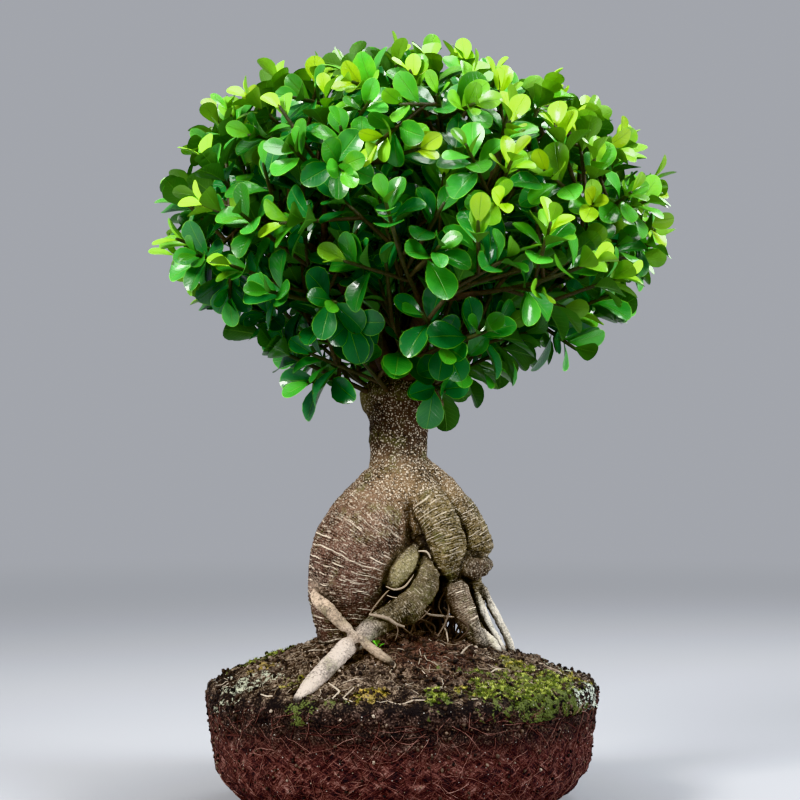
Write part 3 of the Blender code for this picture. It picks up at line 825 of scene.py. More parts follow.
class Crown:
    """The limbs and sprays, grown first as the frame's solids and then filled in."""

    FIRST_FILL = 3
    FILL_TWIGS = 11
    SKIRT_FILL_TWIGS = 15
    SKIRT_TOP = 0.415
    FILL_TRIES = 70
    FILL_STARTS = (0.1, 0.95)
    FILL_SPREADS = (0.5, 1.3)
    LEAST_ROOM = 0.0100
    OUTERMOST = 1.05
    TUCK = 0.6
    LEAN = 0.4

    def __init__(self, growth: Growth, fine: Growth) -> None:
        """Grows the whole crown: the frame's part by one rule, and the rest by a finer one.

        Args:
            growth: The rule for the frame's part.
            fine: The rule for the rest.
        """
        self.growth, self.fine = growth, fine
        self.ends = growth.limb_ends()
        self.thicket = Thicket()
        for shape in self._wood():
            self.thicket.add("wood", shape)
        self.sprays = self._stems()
        for spray in self.sprays:
            spray.twigs += self._side_twigs(spray.stem)
        self._frame_leaves()
        self._trim()
        self._fill()

    def _wood(self) -> list[Shape]:
        """The neck, the roots and the limbs as plain tubes.

        Returns:
            One tube for each.
        """
        wood = [root_shape(NECK, SWOLLEN_SIDES)]
        wood += [root_shape(root, SWOLLEN_SIDES) for root in SWOLLEN_ROOTS]
        wood += [root_shape(root, ROUND_SIDES) for root in ROUND_ROOTS]
        return wood + [self.growth.limb_shape(end) for end in self.ends]

    def _stems(self) -> list[Spray]:
        """Each spray's stem, clear of the wood and the other stems.

        Returns:
            The sprays, each with its stem.
        """
        growth, sprays = self.growth, []
        for spray in range(growth.spray_count):
            for attempt in range(growth.stem_tries):
                fork, stem = growth.stem_of(spray, self.ends, attempt)
                stub = growth.stub_shape(fork, stem, growth.clearance)
                free = not self.thicket.crosses(growth.twig_shape(stem, growth.clearance))
                if free and not self.thicket.crosses(stub, ("wood",)):
                    break
            self.thicket.add("wood", growth.stub_shape(fork, stem))
            self.thicket.add((spray, 0), growth.twig_shape(stem))
            sprays.append(Spray(fork, [stem]))
        return sprays

    def _side_twigs(self, stem: Twig) -> list[Twig]:
        """The frame's side twigs of a spray, each turned until it is clear of all but its stem.

        Args:
            stem: The spray's stem.

        Returns:
            The twigs that could be placed.
        """
        growth, twigs = self.growth, []
        for number, share in enumerate(growth.twig_starts, start=1):
            for attempt in range(growth.twig_tries):
                turn = stem.spray * growth.spray_turn + number * math.pi * growth.half_turns
                turn += attempt * growth.try_turn
                twig = growth.side_twig(stem, number, share, turn)
                shape = growth.twig_shape(twig, growth.twig_radius)
                if not self.thicket.crosses(shape, ((stem.spray, 0),)):
                    self.thicket.add((stem.spray, number), growth.twig_shape(twig))
                    twigs.append(twig)
                    break
        return twigs

    def _frame_leaves(self) -> None:
        """Places the leaves that the frame's solids have, in the same order."""
        growth = self.growth
        for spray in self.sprays:
            if growth.has_young_tip(spray.stem):
                own = ("bud", spray.stem.spray)
                self.thicket.add(own, growth.bud_shape(spray.stem))
                spray.young = growth.place_leaves(spray.stem, growth.young_leaves, own, self.thicket)
        for spray in self.sprays:
            for twig in spray.twigs:
                own = (twig.spray, twig.number)
                spray.leaves += growth.place_leaves(twig, growth.grown_leaves, own, self.thicket)

    def _trim(self) -> None:
        """Makes the frame's leaves as small as the real ones are."""
        self.thicket.forget("leaf")
        for spray in self.sprays:
            for leaves in (spray.leaves, spray.young):
                for index, leaf in enumerate(leaves):
                    share = self.fine.length_at(leaf.base.z) / self.growth.leaf_length
                    leaves[index] = replace(leaf, length=leaf.length * share)
                    self.thicket.add("leaf", self.fine.blade_shape(leaves[index]))

    def _fill(self) -> None:
        """Adds twigs where the crown is thinnest, and full rosettes of leaves on every twig."""
        tips = [twig.tip for spray in self.sprays for twig in spray.twigs]
        for number in range(self.FIRST_FILL, self.FIRST_FILL + self.SKIRT_FILL_TWIGS):
            only_skirt = number >= self.FIRST_FILL + self.FILL_TWIGS
            for spray in self.sprays:
                if only_skirt and spray.stem.tip.z > self.SKIRT_TOP:
                    continue
                twig = self._fill_twig(spray, number, tips)
                if twig is not None:
                    self.thicket.add((twig.spray, twig.number), self.fine.twig_shape(twig))
                    spray.twigs.append(twig)
                    tips.append(twig.tip)
        for spray in self.sprays:
            for twig in spray.twigs:
                spray.leaves += self.fine.place_leaves(twig, range(self.fine.rosette),
                                                       (twig.spray, twig.number), self.thicket)

    def _fill_twig(self, spray: Spray, number: int, tips: Sequence[Vector]) -> Twig | None:
        """A further twig of a spray.

        Args:
            spray: The spray, any twig of which may bear it.
            number: Its number.
            tips: The tips of every other twig.

        Returns:
            The clear twig, out of some that are drawn, whose tip has the most room, or None.
        """
        fine, best, best_room = self.fine, None, self.LEAST_ROOM
        draw, others = random.Random(1000 * spray.stem.spray + number), np.array(tips)
        for _ in range(self.FILL_TRIES):
            parent = draw.choice(spray.twigs)
            share, turn = draw.uniform(*self.FILL_STARTS), draw.uniform(0, FULL_TURN)
            twig = fine.side_twig(parent, number, share, turn, draw.uniform(*self.FILL_SPREADS))
            room = np.sqrt(((others - twig.tip) ** 2).sum(axis=1).min())
            if room <= best_room or not self._inside(twig.tip):
                continue
            carrier = (parent.spray, parent.number)
            if not self.thicket.crosses(fine.twig_shape(twig, fine.clearance), (carrier,)):
                best, best_room = twig, room
        return best

    def _inside(self, tip: Vector) -> bool:
        """Whether a tip is in the crown's outline: tucked in low down, and full at the upper left.

        Args:
            tip: The tip.

        Returns:
            Whether it is.
        """
        fine = self.fine
        offset = tip - fine.centre
        aside = offset.x / fine.half_x
        narrower = self.TUCK * max(0.0, -offset.z / fine.drop) * abs(aside)
        narrower += self.LEAN * max(0.0, offset.z / fine.rise) * aside
        return fine.crown_value(tip, fine.leaf_reach) <= self.OUTERMOST - narrower


# Node trees


class Graph:
    """A node tree under construction."""

    def __init__(self, tree: bpy.types.NodeTree) -> None:
        """Wraps a tree."""
        self.tree = tree

    def node(self, kind: str, settings: dict[str, Any] | None = None,
             sockets: dict[int | str, Any] | None = None) -> bpy.types.Node:
        """Adds a node.

        Args:
            kind: The node's type.
            settings: Its properties, set first. `stops` gives a ramp's (place, colour) pairs.
            sockets: The value or link of each input, by name or place.

        Returns:
            The node.
        """
        made = self.tree.nodes.new(kind)
        for name, value in (settings or {}).items():
            if name == "stops":
                self._set_stops(made.color_ramp, value)
            else:
                setattr(made, name, value)
        for key, value in (sockets or {}).items():
            socket = made.inputs[key]
            source = value.socket if isinstance(value, Value) else value
            if isinstance(source, bpy.types.NodeSocket):
                self.tree.links.new(source, socket)
            else:
                socket.default_value = source
        return made

    @staticmethod
    def _set_stops(ramp: bpy.types.ColorRamp, stops: Stops) -> None:
        """Gives a ramp its stops.

        Args:
            ramp: The ramp.
            stops: The stops.
        """
        while len(ramp.elements) < len(stops):
            ramp.elements.new(1.0)
        for element, (place, colour) in zip(ramp.elements, stops):
            element.position = place
            element.color = (*colour, 1)

    def value(self, kind: str, settings: dict[str, Any] | None = None,
              sockets: dict[int | str, Any] | None = None, output: int | str = 0) -> "Value":
        """Adds a node and returns one of its outputs as a value."""
        return Value(self, self.node(kind, settings, sockets).outputs[output])

    def mix(self, factor: Any, first: Any, second: Any, blend: str = "MIX") -> "Value":
        """Blends two colours.

        Args:
            factor: The share of the second.
            first: The first colour.
            second: The second colour.
            blend: How they are blended.

        Returns:
            The colour.
        """
        settings = {"data_type": "RGBA", "blend_type": blend}
        first = (*first, 1) if isinstance(first, tuple) else first
        second = (*second, 1) if isinstance(second, tuple) else second
        return self.value("ShaderNodeMix", settings, {0: factor, 6: first, 7: second}, 2)

    def ramp(self, factor: Any, stops: Stops) -> "Value":
        """A colour that runs through stops."""
        return self.value("ShaderNodeValToRGB", {"stops": stops}, {0: factor})

    def noise(self, place: Any, scale: float, detail: float = 2.0, distortion: float = 0.0) -> "Value":
        """Smooth noise, about 0.5, with a period of 1 / scale metres."""
        sockets = {"Vector": place, "Scale": scale, "Detail": detail, "Distortion": distortion}
        return self.value("ShaderNodeTexNoise", None, sockets)

    def cells(self, place: Any, scale: float, output: str = "Distance") -> "Value":
        """The distance to the nearest of scattered points, or its colour."""
        return self.value("ShaderNodeTexVoronoi", None, {"Vector": place, "Scale": scale}, output)

    def attribute(self, name: str, output: str = "Fac") -> "Value":
        """A named attribute of the mesh."""
        return self.value("ShaderNodeAttribute", {"attribute_name": name}, None, output)

    def attributes(self, *names: str) -> list["Value"]:
        """Several named attributes of the mesh."""
        return [self.attribute(name) for name in names]

    def joined(self, x: Any, y: Any, z: Any) -> "Value":
        """A vector from its parts."""
        return self.value("ShaderNodeCombineXYZ", None, {0: x, 1: y, 2: z})

    def parted(self, source: Any, kind: str = "XYZ") -> list["Value"]:
        """The parts of a vector, or of a colour if the kind is Color."""
        made = self.node(f"ShaderNodeSeparate{kind}", None, {0: source})
        return [Value(self, output) for output in made.outputs]


class Value:
    """A socket with arithmetic, which adds Math nodes to its tree."""

    def __init__(self, graph: Graph, socket: bpy.types.NodeSocket) -> None:
        """Wraps an output socket."""
        self.graph = graph
        self.socket = socket

    def _math(self, operation: str, *numbers: Any, clamp: bool = False) -> "Value":
        """A Math node on some numbers."""
        settings = {"operation": operation, "use_clamp": clamp}
        return self.graph.value("ShaderNodeMath", settings, dict(enumerate(numbers)))

    def __add__(self, other: Any) -> "Value":
        """self + other."""
        return self._math("ADD", self, other)

    __radd__ = __add__

    def __sub__(self, other: Any) -> "Value":
        """self - other."""
        return self._math("SUBTRACT", self, other)

    def __rsub__(self, other: Any) -> "Value":
        """other - self."""
        return self._math("SUBTRACT", other, self)

    def __mul__(self, other: Any) -> "Value":
        """self * other."""
        return self._math("MULTIPLY", self, other)

    __rmul__ = __mul__

    def __truediv__(self, other: Any) -> "Value":
        """self / other."""
        return self._math("DIVIDE", self, other)

    def angle(self, other: Any) -> "Value":
        """The angle whose tangent is self / other."""
        return self._math("ARCTAN2", self, other)

    def or_more(self, other: Any) -> "Value":
        """The larger of self and other."""
        return self._math("MAXIMUM", self, other)

    def fraction(self) -> "Value":
        """The part after the decimal point."""
        return self._math("FRACT", self)

    def floor(self) -> "Value":
        """The whole number below."""
        return self._math("FLOOR", self)

    def absolute(self) -> "Value":
        """The size without the sign."""
        return self._math("ABSOLUTE", self)

    def clamped(self, lowest: float = 0.0) -> "Value":
        """Kept from 0, or a higher lowest value, to 1."""
        return self._math("MAXIMUM", self, lowest, clamp=True)

    def step(self, low: float, high: float) -> "Value":
        """0 at `low` and 1 at `high`, smooth between them. `low` may be the larger.

        Args:
            low: Where it is 0.
            high: Where it is 1.

        Returns:
            The share.
        """
        if low > high:
            return 1 - self.step(high, low)
        settings = {"interpolation_type": "SMOOTHSTEP"}
        return self.graph.value("ShaderNodeMapRange", settings, {0: self, 1: low, 2: high})


class Finish:
    """A material with one Principled shader."""

    def __init__(self, name: str) -> None:
        """Makes the material and its shader.

        Args:
            name: The material's name.
        """
        self.material = bpy.data.materials.new(name)
        self.material.use_nodes = True
        self.graph = Graph(self.material.node_tree)
        self.shader = self.material.node_tree.nodes["Principled BSDF"]
        self.place = self.graph.value("ShaderNodeTexCoord", None, None, "Object")

    def feed(self, socket: str, value: Any) -> None:
        """Sets one of the shader's sockets to a value or a link.

        Args:
            socket: The socket's name.
            value: The value or link.
        """
        if isinstance(value, Value):
            self.graph.tree.links.new(value.socket, self.shader.inputs[socket])
        else:
            self.shader.inputs[socket].default_value = value

    def bump(self, height: Value, depth: float, strength: float = 1.0) -> None:
        """Feeds a height, in shares of a depth in metres, to the normal."""
        sockets = {"Height": height, "Distance": depth, "Strength": strength}
        self.feed("Normal", self.graph.value("ShaderNodeBump", None, sockets))


class Recipe:
    """A Geometry Nodes tree with named inputs, used as a maker of plain meshes."""

    def __init__(self, name: str, inputs: dict[str, str]) -> None:
        """Makes the tree's ends.

        Args:
            name: The tree's name.
            inputs: The socket type of each named input.
        """
        tree = bpy.data.node_groups.new(name, "GeometryNodeTree")
        tree.interface.new_socket("Geometry", in_out="INPUT", socket_type="NodeSocketGeometry")
        tree.interface.new_socket("Geometry", in_out="OUTPUT", socket_type="NodeSocketGeometry")
        self.identifiers = {}
        for title, kind in inputs.items():
            socket = tree.interface.new_socket(title, in_out="INPUT", socket_type=f"NodeSocket{kind}")
            self.identifiers[title] = socket.identifier
        self.graph = Graph(tree)
        self.start = self.graph.node("NodeGroupInput")

    def finish(self, geometry: bpy.types.NodeSocket) -> None:
        """Ends the tree: instances are made real, and the mesh gets its material.

        Args:
            geometry: What the tree has made.
        """
        real = self.graph.node("GeometryNodeRealizeInstances", None, {0: geometry})
        smooth = self.graph.node("GeometryNodeSetShadeSmooth", None, {0: real.outputs[0]})
        sockets = {0: smooth.outputs[0], "Material": self.start.outputs["Material"]}
        worn = self.graph.node("GeometryNodeSetMaterial", None, sockets)
        self.graph.node("NodeGroupOutput", None, {0: worn.outputs[0]})

    def named(self, attribute: str, kind: str = "FLOAT") -> bpy.types.NodeSocket:
        """A named attribute of the geometry."""
        made = self.graph.node("GeometryNodeInputNamedAttribute", {"data_type": kind}, {0: attribute})
        return made.outputs[0]

    def made(self, name: str, source: bpy.types.Mesh, values: dict[str, Any]) -> bpy.types.Object:
        """Runs the tree on a mesh.

        Args:
            name: The name of the new object.
            source: The mesh that the tree starts from.
            values: The value of each named input.

        Returns:
            An object with the resulting plain mesh.
        """
        carrier = linked(name, source)
        step = carrier.modifiers.new(self.graph.tree.name, "NODES")
        step.node_group = self.graph.tree
        for title, value in values.items():
            step[self.identifiers[title]] = value
        mesh = baked(carrier).data
        mesh.materials.clear()
        mesh.materials.append(values["Material"])
        mesh.polygons.foreach_set("material_index", np.zeros(len(mesh.polygons), dtype=np.int32))
        return carrier


def linked(name: str, data: bpy.types.ID) -> bpy.types.Object:
    """A new object in the scene.

    Args:
        name: Its name.
        data: Its mesh, light or camera.

    Returns:
        The object.
    """
    made = bpy.data.objects.new(name, data)
    bpy.context.scene.collection.objects.link(made)
    return made


def baked(made: bpy.types.Object) -> bpy.types.Object:
    """The object with its modifiers turned into a plain mesh.

    Args:
        made: The object.

    Returns:
        The same object.
    """
    graph = bpy.context.evaluated_depsgraph_get()
    mesh = bpy.data.meshes.new_from_object(made.evaluated_get(graph), preserve_all_data_layers=True,
                                           depsgraph=graph)
    made.modifiers.clear()
    made.data = mesh
    mesh.name = made.name
    return made


def plain_mesh(name: str, vertices: Any, faces: Any, edges: Any = ()) -> bpy.types.Mesh:
    """A mesh from vertices and faces or edges.

    Args:
        name: The mesh's name.
        vertices: Its vertices.
        faces: Its faces.
        edges: Its edges, where it has no faces.

    Returns:
        The mesh.
    """
    mesh = bpy.data.meshes.new(name)
    mesh.from_pydata(vertices, edges, faces)
    mesh.update()
    return mesh


def set_values(mesh: bpy.types.Mesh, name: str, kind: str, values: Any) -> None:
    """Gives a mesh's points a named attribute.

    Args:
        mesh: The mesh.
        name: The attribute's name.
        kind: FLOAT, INT, FLOAT_VECTOR or FLOAT_COLOR.
        values: One number or row for each point.
    """
    made = mesh.attributes.new(name, kind, "POINT")
    key = {"FLOAT_VECTOR": "vector", "FLOAT_COLOR": "color"}.get(kind, "value")
    flat = np.asarray(values, dtype=np.int32 if kind == "INT" else np.float32).ravel()
    made.data.foreach_set(key, flat)


def worn(piece: bpy.types.Object, finish: Finish) -> bpy.types.Object:
    """The piece with smooth shading and one finish.

    Args:
        piece: The piece.
        finish: The finish.

    Returns:
        The same piece.
    """
    piece.data.shade_smooth()
    piece.data.materials.clear()
    piece.data.materials.append(finish.material)
    return piece


def point_rows(values: Any, key: str) -> np.ndarray:
    """Three numbers for each point of a mesh.

    Args:
        values: The mesh's vertices, or their normals.
        key: What is read from each.

    Returns:
        One row for each point.
    """
    flat = np.empty(len(values) * 3, dtype=np.float32)
    values.foreach_get(key, flat)
    return flat.reshape(-1, 3).astype(float)


def positions(mesh: bpy.types.Mesh) -> np.ndarray:
    """The places of a mesh's points, one row each."""
    return point_rows(mesh.vertices, "co")


def normals(mesh: bpy.types.Mesh) -> np.ndarray:
    """The normals of a mesh's points, one row each."""
    return point_rows(mesh.vertex_normals, "vector")


def surface_of(mesh: bpy.types.Mesh) -> BVHTree:
    """A mesh's faces, ready for rays to meet."""
    return BVHTree.FromPolygons([v.co for v in mesh.vertices], [p.vertices for p in mesh.polygons])


def move_points(mesh: bpy.types.Mesh, places: np.ndarray) -> None:
    """Moves a mesh's points to new places."""
    mesh.vertices.foreach_set("co", places.astype(np.float32).ravel())
    mesh.update()


def lumps(places: np.ndarray, scale: float, octaves: int = 3, seed: float = 0.0) -> np.ndarray:
    """Fractal noise from about -1 to 1 at each place, with a period of 1 / scale metres."""
    offset = Vector((seed, 2 * seed, -seed))
    return np.array([noise.fractal(Vector(p) * scale + offset, 1.0, 2.0, octaves) for p in places])


def dressed(piece: bpy.types.Object, slot: str, *nodes: str) -> bpy.types.Object:
    """Rides a piece on the part's body and hides the nodes that it replaces.

    Args:
        piece: The piece.
        slot: The slot's name; not used.
        *nodes: The replaced nodes.

    Returns:
        The same piece.
    """
    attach(piece, BODY)
    if nodes:
        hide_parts(*nodes)
    LOG.info("%s: %d faces", piece.name, len(piece.data.polygons))
    return piece


# Pieces that repeat


@dataclass(frozen=True)
class Placed:
    """A copy of a small mesh: its place, turn, size and kind, its tone, its hue from green to yellow,
    which on leaves also carries painted light and shade, and how much wider than long it is made."""

    place: Vector
    turn: tuple[float, float, float]
    size: float
    kind: int
    tone: float
    hue: float = 0.0
    width: float = 1.0


class Scatter:
    """A maker of pieces that set one of a few small meshes on each of many places."""

    def __init__(self, name: str, kinds: Sequence[bpy.types.Mesh]) -> None:
        """Keeps the kinds in a collection and builds the tree.

        Args:
            name: What is scattered.
            kinds: The small meshes, each for a size of 1.
        """
        self.group = bpy.data.collections.new(f"{name}_kinds")
        bpy.context.scene.collection.children.link(self.group)
        for mesh in kinds:
            self.group.objects.link(bpy.data.objects.new(mesh.name, mesh))
        self.recipe = Recipe(f"{name}_on_points", {"Material": "Material"})
        graph = self.recipe.graph
        info = graph.node("GeometryNodeCollectionInfo", {"transform_space": "RELATIVE"},
                          {0: self.group, 1: True, 2: True})
        placed = graph.node("GeometryNodeInstanceOnPoints", None, {
            "Points": self.recipe.start.outputs["Geometry"], "Instance": info.outputs[0],
            "Pick Instance": True, "Instance Index": self.recipe.named("kind", "INT"),
            "Rotation": self.recipe.named("turn", "FLOAT_VECTOR"),
            "Scale": self.recipe.named("size", "FLOAT_VECTOR")})
        self.recipe.finish(placed.outputs[0])

    def made(self, name: str, rows: Sequence[Placed], finish: Finish) -> bpy.types.Object:
        """Makes one piece.

        Args:
            name: The piece's name.
            rows: The copies.
            finish: Its finish.

        Returns:
            The piece, a plain mesh.
        """
        mesh = plain_mesh(f"{name}_points", [row.place for row in rows], [])
        sizes = [(row.size * row.width, row.size, row.size) for row in rows]
        set_values(mesh, "turn", "FLOAT_VECTOR", [row.turn for row in rows])
        set_values(mesh, "kind", "INT", [row.kind for row in rows])
        set_values(mesh, "size", "FLOAT_VECTOR", sizes)
        for key in ("tone", "hue"):
            set_values(mesh, key, "FLOAT", [getattr(row, key) for row in rows])
        return self.recipe.made(name, mesh, {"Material": finish.material})

    def clear(self) -> None:
        """Removes the kinds once every piece is made."""
        for made in list(self.group.objects):
            bpy.data.objects.remove(made)
        bpy.data.collections.remove(self.group)


@dataclass(frozen=True)
class Strand:
    """A round strand of wood or root: its points, and its radius and tone at each."""

    points: Sequence[Vector]
    radii: Sequence[float]
    tones: Sequence[float]

    END_SHARE = 0.35
    FIRST_TURN = 0.12
    TURN_RANGE = 0.76

    @classmethod
    def tapered(cls, points: Sequence[Vector], radius: float, tone: float) -> "Strand":
        """A strand of one tone that thins towards both ends.

        Args:
            points: Its points.
            radius: Its radius where it is thickest.
            tone: Its tone.

        Returns:
            The strand.
        """
        last = len(points) - 1
        turns = [math.pi * (cls.FIRST_TURN + cls.TURN_RANGE * i / last) for i in range(last + 1)]
        radii = [radius * (cls.END_SHARE + (1 - cls.END_SHARE) * math.sin(turn)) for turn in turns]
        return cls(points, radii, [tone] * (last + 1))


def strand_piece(name: str, strands: Sequence[Strand], finish: Finish, sides: int,
                 smoothness: int) -> bpy.types.Object:
    """Makes one piece of many round strands.

    Args:
        name: The piece's name.
        strands: The strands.
        finish: Its finish.
        sides: How many sides a strand has.
        smoothness: Into how many steps each stretch between two points is cut.

    Returns:
        The piece, a plain mesh.
    """
    starts = np.cumsum([0] + [len(strand.points) for strand in strands])
    edges = [(start + i, start + i + 1) for start, strand in zip(starts, strands)
             for i in range(len(strand.points) - 1)]
    points, radii, tones = ([item for strand in strands for item in getattr(strand, key)]
                            for key in ("points", "radii", "tones"))
    mesh = plain_mesh(f"{name}_paths", points, [], edges)
    set_values(mesh, "thick", "FLOAT", radii)
    set_values(mesh, "tone", "FLOAT", tones)
    recipe = Recipe(f"{name}_round", {"Material": "Material", "Sides": "Int", "Smoothness": "Int"})
    graph, given = recipe.graph, recipe.start.outputs
    curve = graph.node("GeometryNodeMeshToCurve", None, {0: given["Geometry"]})
    kind = graph.node("GeometryNodeCurveSplineType", {"spline_type": "CATMULL_ROM"}, {0: curve.outputs[0]})
    even = graph.node("GeometryNodeSetSplineResolution", None,
                      {"Geometry": kind.outputs[0], "Resolution": given["Smoothness"]})
    ring = graph.node("GeometryNodeCurvePrimitiveCircle", None,
                      {"Resolution": given["Sides"], "Radius": 1.0})
    tube = graph.node("GeometryNodeCurveToMesh", None, {
        "Curve": even.outputs[0], "Profile Curve": ring.outputs[0], "Scale": recipe.named("thick"),
        "Fill Caps": True})
    recipe.finish(tube.outputs[0])
    values = {"Material": finish.material, "Sides": sides, "Smoothness": smoothness}
    return recipe.made(name, mesh, values)


# Finishes


class LeafFinish(Finish):
    """A leaf: glossy, veined and darker with age above, dull and paler below; its colour also carries
    painted light and shade, and a painted highlight at its margin.
    """

    # The top's colours from old to young leaves, which also run from painted shade to painted light.
    TOP = ((0.0, (0.008, 0.030, 0.015)), (0.30, (0.022, 0.155, 0.034)), (0.58, (0.080, 0.380, 0.036)),
           (1.0, (0.44, 0.70, 0.035)))
    UNDERSIDE = (0.050, 0.150, 0.028)
    YOUNG_UNDERSIDE = (0.24, 0.50, 0.035)
    RIB = (0.16, 0.40, 0.06)
    # A painted highlight along the leaf's margin.
    EDGE_HIGHLIGHT = (0.26, 0.66, 0.07)
    VEINS = 10
    VEIN_SLANT = 2.6

    def __init__(self, name: str) -> None:
        """Builds the nodes. The mesh carries hue, tone, under, rim and a map of across and along; the hue
        is how young the leaf is, with painted light and shade.

        Args:
            name: The material's name.
        """
        super().__init__(name)
        graph = self.graph
        youth_and_light, tone, under, rim = graph.attributes("hue", "tone", "under", "rim")
        across, along, _ = graph.parted(graph.value("ShaderNodeUVMap", {"uv_map": "UVMap"}))
        across = ((across - 0.5) * 2).absolute()
        wobble = graph.noise(self.place, 220, 1)
        rib = (across - (1 - along) * 0.035).step(0.050, 0.0)
        side = (along * self.VEINS - across * self.VEIN_SLANT + wobble * 0.5).fraction() - 0.5
        side_veins = side.absolute().step(0.10, 0.0) * across.step(0.95, 0.6)
        # A painted highlight along the margin, brighter on young leaves.
        edge = rim.step(0.82, 1.0)
        # The hue brings painted light and shade along with how young the leaf is.
        top = graph.ramp(youth_and_light + (graph.noise(self.place, 90, 2) - 0.5) * 0.20, self.TOP)
        top = graph.mix((rib * 0.45 + side_veins * 0.05).clamped(), top, self.RIB)
        top = graph.mix(edge * (0.30 + youth_and_light * 0.6), top, self.EDGE_HIGHLIGHT)
        top = graph.mix(1.0, top, 0.50 + tone * 0.88, "MULTIPLY")
        below = graph.mix((rib * 0.6 + side_veins * 0.2).clamped(), self.UNDERSIDE, self.RIB)
        below = graph.mix(youth_and_light.step(0.4, 1.0) * 0.7, below, self.YOUNG_UNDERSIDE)
        self.feed("Base Color", graph.mix(under, top, below))
        self.feed("Roughness", 0.25 + under * 0.3 + wobble * 0.14)
        self.feed("Coat Weight", 0.42)
        self.feed("Coat Roughness", 0.10)
        self.feed("Specular IOR Level", 0.42)
        height = (rib * -0.8 - side_veins * 0.25) * (1 - under * 2) + wobble * 0.25
        self.bump(height, 0.0005, 0.8)


class TwigFinish(Finish):
    """Young wood: brown where its tone is low and green at the tips, with pale pores."""

    def __init__(self) -> None:
        """Builds the nodes. The mesh carries its tone."""
        super().__init__("twig_bark")
        graph = self.graph
        blotch = graph.noise(self.place, 320, 3)
        colour = graph.ramp(blotch, ((0.3, (0.022, 0.012, 0.007)), (0.7, (0.070, 0.040, 0.022))))
        colour = graph.mix(graph.attribute("tone") * 0.8, colour, (0.026, 0.055, 0.012))
        pores = graph.cells(self.place, 700).step(0.28, 0.12)
        self.feed("Base Color", graph.mix(pores * 0.4, colour, (0.20, 0.15, 0.09)))
        self.feed("Roughness", 0.62)
        self.bump(blotch + pores * 0.6, 0.0005)


class BarkFinish(Finish):
    """Bark: tinted root by root, with broken rows of pale pores, fine wrinkles, painted shade in hollows
    and soil at its foot.
    """

    PORE = (0.98, 0.84, 0.66)
    MOSS = (0.095, 0.115, 0.030)
    # Near black: painted shade in the hollows between roots, and soil at the soil line.
    EARTH = (0.010, 0.007, 0.006)
    ARC_SPACING = 0.0068
    DASH_SPACING = 0.0024
    WRINKLE_SPACING = 0.0015

    def __init__(self) -> None:
        """Builds the nodes. The mesh carries skin, ring, rings, pores and earth, which is painted shade
        and soil.
        """
        super().__init__("bark")
        graph = self.graph
        skin = graph.attribute("skin", "Color")
        ring, rings, pores, earth = graph.attributes("ring", "rings", "pores", "earth")
        broad = graph.noise(self.place, 42, 4)
        fine = graph.noise(self.place, 520, 5)
        grain = graph.noise(self.place, 1100, 2) - 0.5
        patchy = graph.noise(self.place, 120, 2).step(0.36, 0.56)
        wrinkle = ((ring / self.WRINKLE_SPACING + (fine - 0.5) * 1.2).fraction() - 0.5).absolute() * 2
        groove = wrinkle.step(0.55, 0.0) * rings * patchy
        mottle = ((fine - 0.5) * 3.0 + grain * 1.3) * (0.55 + pores * 0.35 + rings * 0.15)
        dark = 0.44 + broad.step(0.32, 0.68) * 0.66 + mottle - groove * 0.45
        base = graph.mix(1.0, skin, dark.clamped(0.05), "MULTIPLY")
        arcs = self._rows(ring, self.ARC_SPACING, 0.060, 42, 0.46, rings)
        arcs = arcs * rings.step(0.70, 0.95) * rings.step(1.30, 1.10)
        arcs = arcs * graph.noise(self.place, 30, 2).step(0.44, 0.50)
        dashes = self._rows(ring, self.DASH_SPACING, 0.15, 150, 0.56, rings) * (0.04 + rings * 0.56)
        dashes = dashes * (1 - rings.step(1.1, 1.5) * 0.38)
        dots = (self._dots(430, 0.10, 0.26) + self._dots(640, 0.20, 0.28)) * pores
        pale = (arcs * 1.1 + dashes + dots * 0.85).clamped()
        colour = graph.mix(pale * 0.90, base, graph.mix(0.18, self.PORE, skin))
        film = graph.noise(self.place, 70, 3).step(0.52, 0.70) * 0.50
        colour = graph.mix(film * fine.step(0.35, 0.6), colour, self.MOSS)
        # Painted shade in hollows that other roots keep from the open air, and soil at the soil line.
        shade_and_soil = (earth + (fine - 0.5) * 0.7).step(0.24, 0.72) * 0.96
        self.feed("Base Color", graph.mix(shade_and_soil, colour, self.EARTH))
        self.feed("Roughness", 0.56 + fine * 0.3)
        self.feed("Specular IOR Level", 0.35)
        self.bump(fine * 1.0 + grain * 0.5 + pale * 0.7 - groove * 0.7 + broad * 0.4, 0.0014)

    def _rows(self, ring: Value, spacing: float, width: float, scale: float, cover: float,
              rings: Value) -> Value:
        """Broken pale rows round a root.

        Args:
            ring: The distance along the root.
            spacing: The distance between rows.
            width: Half a row's width, in shares of the spacing.
            scale: How short the dashes are: their number in a metre.
            cover: The noise level above which there is a dash.
            rings: How strongly rings show, which makes the dashes longer.

        Returns:
            The mask.
        """
        graph = self.graph
        row = ring / spacing
        number = row.floor()
        shift = graph.joined(number * 0.031, number * 0.017, number * 0.023)
        place = graph.value("ShaderNodeVectorMath", {"operation": "ADD"}, {0: self.place, 1: shift})
        line = (row.fraction() - 0.5).absolute().step(width * 1.5, width * 0.6)
        level = graph.noise(place, scale, 1) + (rings - 1) * 0.11
        return line * level.step(cover - 0.03, cover + 0.03)

    def _dots(self, scale: float, rarity: float, radius: float) -> Value:
        """Scattered round pores.

        Args:
            scale: How many there could be in a metre.
            rarity: The share that is left out.
            radius: Their radius, in shares of their spacing.

        Returns:
            The mask.
        """
        graph = self.graph
        chance = graph.parted(graph.cells(self.place, scale, "Color"), "Color")[0]
        kept = chance.step(rarity, rarity + 0.05)
        return graph.cells(self.place, scale).step(radius * 1.5, radius * 0.8) * kept


